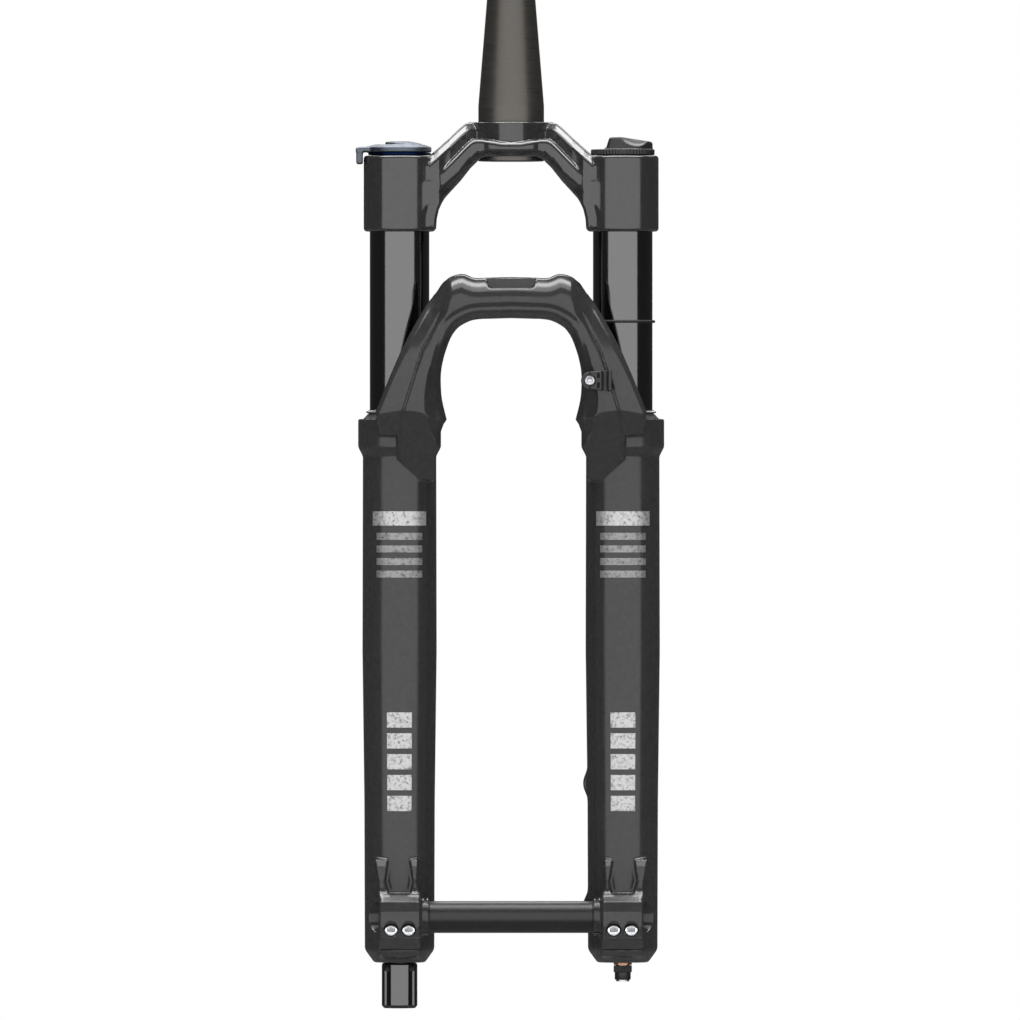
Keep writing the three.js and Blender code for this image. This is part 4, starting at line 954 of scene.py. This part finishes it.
def garter_spring(leg, x):
    """A fine coil closed into a ring round the seal's lip."""
    ring_r = STANCHION_R + 1.5
    coil_r, wire_r, turns, steps, sides = 0.52, 0.2, 130, 9, 5
    count = turns * steps
    t = 2 * math.pi * np.arange(count) / count
    winding = t * turns
    out = np.stack([np.cos(t), np.sin(t), 0 * t], 1)
    up = np.array([0, 0, 1.0])
    way = out * np.cos(winding)[:, None] + up * np.sin(winding)[:, None]
    centre = out * ring_r + way * coil_r
    along = np.roll(centre, -1, 0) - np.roll(centre, 1, 0)
    along /= np.linalg.norm(along, axis=1, keepdims=True)
    across = np.cross(along, way)
    rings = []
    for side in range(sides):
        angle = 2 * math.pi * side / sides
        rings.append(centre + wire_r * (way * math.cos(angle) + across * math.sin(angle)))
    vertices = np.stack(rings, 1).reshape(-1, 3) + np.array([x, LEG_Y, middle(f"garter_spring_{leg}")[2]])
    coil = mesh_object(f"garter_spring_{leg}_coil", vertices, ring_faces(count, sides, True))
    finished(smooth(coil, 60), f"garter_spring_{leg}", "lowers")


def travel_ring():
    centre_z, wire_r, sides = middle("travel_ring")[2], 0.85, 16
    ring_r = STANCHION_R + wire_r
    angles = 2 * math.pi * np.arange(sides) / sides
    outline = [(ring_r + wire_r * math.cos(a), centre_z + wire_r * math.sin(a)) for a in angles]
    piece = turned("travel_ring_skin", outline, (LEG_X, LEG_Y, 0), 128, 60)
    finished(piece, "travel_ring", "travel_ring")


def axle():
    """A hexagonal socket in its damper-side end, hollow from the other, and a slightly thinner middle."""
    end, boss = AXLE_HIGH[0], -AXLE_LOW[0] - 14
    inner = AXLE_R - 2.5
    waist, shallow = 49, AXLE_R - 0.35
    outline = [
        (0, -end + 9), (4.6, -end + 9, 6), (4.6, -end + 0.8, 6), (5.6, -end), (AXLE_R - 1, -end),
        (AXLE_R, -end + 1), (AXLE_R, -waist - 0.5), (shallow, -waist), (shallow, waist),
        (AXLE_R, waist + 0.5),
        (AXLE_R, end - 1), (AXLE_R - 1, end), (inner + 0.5, end), (inner, end - 0.5), (inner, -boss),
        (0, -boss),
    ]
    piece = turned("axle_skin", outline, sides=96)
    piece.data.flip_normals()
    turn = Matrix.Rotation(math.pi / 2, 4, "Y")
    piece.data.transform(Matrix.Translation(Vector((0, AXLE_Y, AXLE_Z)) * METRES) @ turn)
    finished(piece, "axle", "axle")


# Shank radius, shank length, head radius, head height, half the socket's width, socket depth.
PINCH_BOLT = (2.5, 16, 3.9, 5, 2.05, 2.6)
GUIDE_BOLT = (2, 9, 2.9, 2, 1.3, 1.2)


def socket_bolt(name, shank, length, head, height, hexagon, depth):
    """A round-headed bolt whose head's top is at the origin and whose shank points down."""
    corner = 0.55
    outline = [
        (0, -height - length), (shank - 0.4, -height - length), (shank, -height - length + 0.4),
        (shank, -height), (head - 0.2, -height), (head, -height + 0.3), (head, -corner),
        (head - 0.16, -corner * 0.42), (head - 0.55, -0.06), (head - 0.95, 0), (hexagon + 0.75, 0),
        (hexagon + 0.3, -0.12, 6), (hexagon, -0.45, 6), (hexagon, -depth, 6), (0, -depth - 0.5),
    ]
    return turned(name, outline, sides=72, sharp_degrees=35)


def pinch_bolts():
    head_way = np.array([0, -math.cos(PINCH_TILT), math.sin(PINCH_TILT)])
    slot_way = np.array([0, -math.sin(PINCH_TILT), -math.cos(PINCH_TILT)])
    rise = PINCH_SEAT + PINCH_HEAD_RISE
    for leg, _ in LEGS:
        for node in sorted(name for name in SLOT_OF if name.startswith(f"pinch_bolt_{leg}")):
            piece = socket_bolt(f"{node}_skin", *PINCH_BOLT)
            axle_place = np.array([middle(node)[0], AXLE_Y, AXLE_Z])
            place = axle_place + slot_way * PINCH_OFFSET + head_way * rise
            finished(tipped(piece, head_way, place), node, "lowers")


def foot_nuts():
    """A hexagonal nut with a round collar on each leg's foot stud."""
    for leg, x in LEGS:
        low, high = corners(f"foot_nut_{leg}")
        top, bottom = high[2], low[2]
        hexagon, bore = 5.5, 4.3
        outline = [
            (bore, top), (hexagon - 0.3, top), (hexagon, top - 0.3, 6), (hexagon, top - 3.9, 6),
            (hexagon - 0.3, top - 4.2), (4.85, top - 4.3), (4.85, bottom + 0.5), (4.6, bottom),
            (bore, bottom),
        ]
        piece = turned(f"foot_nut_{leg}_skin", outline[::-1], (x, LEG_Y, 0), 72)
        finished(piece, f"foot_nut_{leg}", "lowers")


def flute(piece, radius, top):
    """Presses four round flutes into a knob about the +Z axis, fading out towards its top."""
    flute_r, flutes = 4.0, 4
    centre = radius + 3.0
    for vertex in piece.data.vertices:
        x, y, z = vertex.co / METRES
        r = math.hypot(x, y)
        spacing = 2 * math.pi / flutes
        turn = (math.atan2(y, x) % spacing) - spacing / 2
        reach = centre * math.cos(turn)
        inside = flute_r ** 2 - (centre * math.sin(turn)) ** 2
        if r > radius - 2.2 and inside > 0:
            floor = reach - math.sqrt(inside)
            strength = min(max((top - z) / 2, 0), 1)
            shorter = min(r, r + (floor - radius) * strength)
            vertex.co = Vector((x * shorter / r, y * shorter / r, z)) * METRES


def rebound_knob():
    """A tall knob with four wide grip flutes down its sides."""
    low, high = corners("rebound_knob")
    radius, bottom, top = high[0] + LEG_X, low[2], high[2]
    outline = rounded([
        (6.9, top), (radius - 0.7, top), (radius, top - 1.0), (radius, top - 3.5), (radius, top - 5),
        (radius, bottom + 1.6), (radius - 1.4, bottom), (5.2, bottom), (4.9, bottom + 0.7),
        (1.9, bottom + 0.8), (1.7, bottom + 4), (2.7, bottom + 5), (2.7, top - 10.5), (6.9, top - 10.5),
        (6.9, top - 1),
    ], 0.45)
    piece = turned("rebound_knob_skin", outline[::-1], (0, 0, 0), 240)
    flute(piece, radius, top - 3)
    piece.data.transform(Matrix.Translation(Vector((-LEG_X, LEG_Y, 0)) * METRES))
    smooth(piece, 35)
    finished(piece, "rebound_knob", "rebound_knob")


GUIDE_LOW, GUIDE_HIGH = corners("hose_guide")


def hose_guide_field(x, y, z):
    """A clamp for the brake hose: a round eye for its bolt, and a block with a channel and a rib."""
    u, h = x - GUIDE_X, z - GUIDE_Z
    back, front = GUIDE_HIGH[1], GUIDE_LOW[1]
    reach, thickness = GUIDE_HIGH[0] - GUIDE_X, GUIDE_HIGH[1] - GUIDE_LOW[1]
    eye = all_of(0.7, np.hypot(u, h) - 5.3, slab(y, front + 1.2, back))
    half = 5.4 + 0.09 * u
    block = all_of(0.9, np.abs(h) - half, slab(u, 0, reach), slab(y, front, back))
    strap = all_of(0.9, np.abs(h) - 2.2, slab(u, 3.5, reach), slab(y, front, back))
    shape = smooth_min(smooth_min(eye, block, 1.0), strap, 0.6)
    channel = np.hypot(u - reach + 4.0, y - front - 1.6) - 2.6 + 0 * h
    pockets = [
        all_of(0.6, slab(u, 4.6, reach - 7.4), slab(h * side, 1.3, 4.4), y - front - thickness * 0.55)
        for side in (-1, 1)
    ]
    hole = np.hypot(u, h) - 2.3 + 0 * y
    counterbore = all_of(0.3, np.hypot(u, h) - 3.3, y - front - 0.9)
    for cut in (channel, hole, counterbore, *pockets):
        shape = smooth_max(shape, -cut, 0.4)
    return shape


def hose_guide():
    axes = box_axes(GUIDE_LOW - 1, GUIDE_HIGH + 1, 0.32)
    piece = field_piece("hose_guide_skin", hose_guide_field, axes, 40000)
    finished(piece, "hose_guide", "lowers")
    head_front = corners("hose_guide_bolt")[0][1]
    bolt = socket_bolt("hose_guide_bolt_skin", *GUIDE_BOLT)
    finished(tipped(bolt, (0, -1, 0), (GUIDE_X, head_front, GUIDE_Z)), "hose_guide_bolt", "lowers")


# ---- Printed marks on the legs: plain bars, worn so that the paint shows through

MARKS_TOP, BAND_HEIGHT, BAND_ANGLE = 245, 8.6, 46
LINES_BELOW, LINE_PITCH, LINE_HEIGHT, LINE_ANGLE = 13, 7.6, 4.2, 38
BARS_BOTTOM, BAR_PITCH, BAR_HEIGHT, BAR_ANGLE = 64, 12.6, 9.2, 20


def worn_print(name, color, fade):
    """Silver print, speckled darker where it has worn."""
    look = Look(name, color, 0.75, 0.38)
    speckle = look.noise(520, detail=6, roughness=0.75)
    look.tint(speckle, [c * fade for c in color], color, 0.36, 0.5)
    look.roughen(speckle, 0.5, 0.32)
    look.bump(speckle, 0.3, 0.02)
    return look.material


def printed_patch(name, side, material, from_z, to_z, half_angle):
    """A thin patch over the leg's front; half_angle is in degrees to each side of straight ahead."""
    steps, rows, lift, depth = 20, 10, 0.09, 0.16
    angles = np.radians(np.linspace(-half_angle, half_angle, steps))
    layers = []
    for layer in (lift, lift - depth):
        for z in np.linspace(from_z, to_z, rows):
            radius = leg_radius(z) + layer
            layers.append(np.stack([
                side * (LEG_X + radius * np.sin(angles)), LEG_Y - radius * np.cos(angles), np.full(steps, z),
            ], 1))
    vertices = np.concatenate(layers)
    count = rows * steps
    faces = []
    for row in range(rows - 1):
        for step in range(steps - 1):
            a = row * steps + step
            faces.append((a, a + 1, a + steps + 1, a + steps))
            faces.append((count + a, count + a + steps, count + a + steps + 1, count + a + 1))
    edge = list(range(steps)) + [row * steps + steps - 1 for row in range(1, rows)]
    edge += [count - 1 - step for step in range(1, steps)] + [row * steps for row in range(rows - 2, 0, -1)]
    for a, b in zip(edge, edge[1:] + edge[:1]):
        faces.append((b, a, a + count, b + count))
    patch = mesh_object(name, vertices, faces if side > 0 else [face[::-1] for face in faces])
    patch.data.materials.append(material)
    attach(smooth(patch, 40), "lowers")


def leg_marks():
    bright = worn_print("print_bright", (0.55, 0.55, 0.55), 0.25)
    dull = worn_print("print_dull", (0.3, 0.3, 0.3), 0.25)
    high, low = AXLE_Z + MARKS_TOP, AXLE_Z + BARS_BOTTOM
    for leg, x in LEGS:
        side = 1 if x > 0 else -1
        printed_patch(f"mark_band_{leg}", side, bright, high - BAND_HEIGHT, high, BAND_ANGLE)
        for index in range(4):
            top = high - LINES_BELOW - LINE_PITCH * index
            printed_patch(f"mark_line_{index + 1}_{leg}", side, dull, top - LINE_HEIGHT, top, LINE_ANGLE)
        for index in range(5):
            bottom = low + BAR_PITCH * index
            printed_patch(f"mark_bar_{index + 1}_{leg}", side, bright, bottom, bottom + BAR_HEIGHT, BAR_ANGLE)


SPRING_NODE = "floating_piston_spring"


def carried_over():
    """The CAD nodes that stay as they are get the looks of their slots."""
    for node, piece in frame["nodes"].items():
        piece.data.materials.clear()
        piece.data.materials.append(LOOKS[SLOT_OF[node]].material)
    spring = frame["nodes"][SPRING_NODE]
    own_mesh(spring)


# ---- Stage, light and camera

def stage():
    """A round pale floor, below and behind what the camera sees."""
    radius, sides, height = 1.7, 128, -0.72  # metres
    turn = np.linspace(0, 2 * math.pi, sides, endpoint=False)
    rim = [(radius * math.cos(t), radius * math.sin(t), height) for t in turn]
    mesh = bpy.data.meshes.new("floor")
    mesh.from_pydata(rim, [], [tuple(range(sides))])
    floor = new_object("floor", mesh)
    look = Look("floor", (0.8, 0.8, 0.8), 0.0, 0.9)
    look.tint(look.noise(3), (0.79, 0.79, 0.79), (0.81, 0.81, 0.81))
    mesh.materials.append(look.material)
    floor.visible_glossy = False


def softbox(name, place, size, watts, aim=(0, 0, -0.23)):
    light = bpy.data.lights.new(name, "AREA")
    light.shape = "RECTANGLE"
    light.size, light.size_y = size
    light.energy = watts
    lamp = new_object(name, light)
    lamp.location = place
    lamp.rotation_euler = (Vector(aim) - Vector(place)).to_track_quat("-Z", "Y").to_euler()


def lighting():
    """A white studio: a wide softbox in front, a large one and a narrow one overhead, one behind,
    and dim light all round, a little brighter from below, where the pale floor would be mirrored."""
    world = bpy.data.worlds.new("studio")
    bpy.context.scene.world = world
    world.use_nodes = True
    nodes, links = world.node_tree.nodes, world.node_tree.links
    background = nodes["Background"]
    background.inputs["Color"].default_value = (1, 1, 1, 1)
    up = nodes.new("ShaderNodeSeparateXYZ")
    links.new(nodes.new("ShaderNodeTexCoord").outputs["Generated"], up.inputs["Vector"])
    dim = nodes.new("ShaderNodeMapRange")
    for name, value in (("From Min", -0.45), ("From Max", -0.1), ("To Min", 0.2), ("To Max", 0.06)):
        dim.inputs[name].default_value = value
    links.new(up.outputs["Z"], dim.inputs["Value"])
    seen = nodes.new("ShaderNodeLightPath").outputs["Is Camera Ray"]
    strength = nodes.new("ShaderNodeMix")
    strength.inputs["B"].default_value = 1.0
    links.new(seen, strength.inputs["Factor"])
    links.new(dim.outputs["Result"], strength.inputs["A"])
    links.new(strength.outputs["Result"], background.inputs["Strength"])
    softbox("front", (0, -1.75, -0.2), (5.6, 1.9), 48)
    softbox("above", (0, -0.3, 1.5), (2.6, 1.5), 38, (0, -0.03, 0))
    softbox("strip", (0, -0.08, 1.15), (2.2, 0.4), 22, (0, -0.03, 0))
    softbox("behind", (0, 2.4, 2.2), (3.4, 1.4), 60)
    bpy.context.scene.view_settings.view_transform = "Standard"


def camera():
    """Far off with a long lens, level with the middle of the photo."""
    data = bpy.data.cameras.new("camera")
    data.sensor_width = 36
    data.lens = 700
    frame_width = 0.616
    centre_x, centre_z = -0.0007, -0.2347
    distance = frame_width * data.lens / data.sensor_width
    lens = new_object("camera", data)
    lens.location = (centre_x, LEG_Y * METRES - 0.02 - distance, centre_z)
    lens.rotation_euler = (math.pi / 2, 0, 0)
    data.clip_end = 100
    bpy.context.scene.camera = lens


camera()
lighting()
stage()
carried_over()
casting()
crown()
steerer()
compression_lever()
valve_cap()
damper_cap()
axle()
pinch_bolts()
foot_nuts()
rebound_knob()
hose_guide()
travel_ring()
for leg, leg_x in LEGS:
    stanchion(leg, leg_x)
    wiper_seal(leg, leg_x)
    garter_spring(leg, leg_x)
leg_marks()
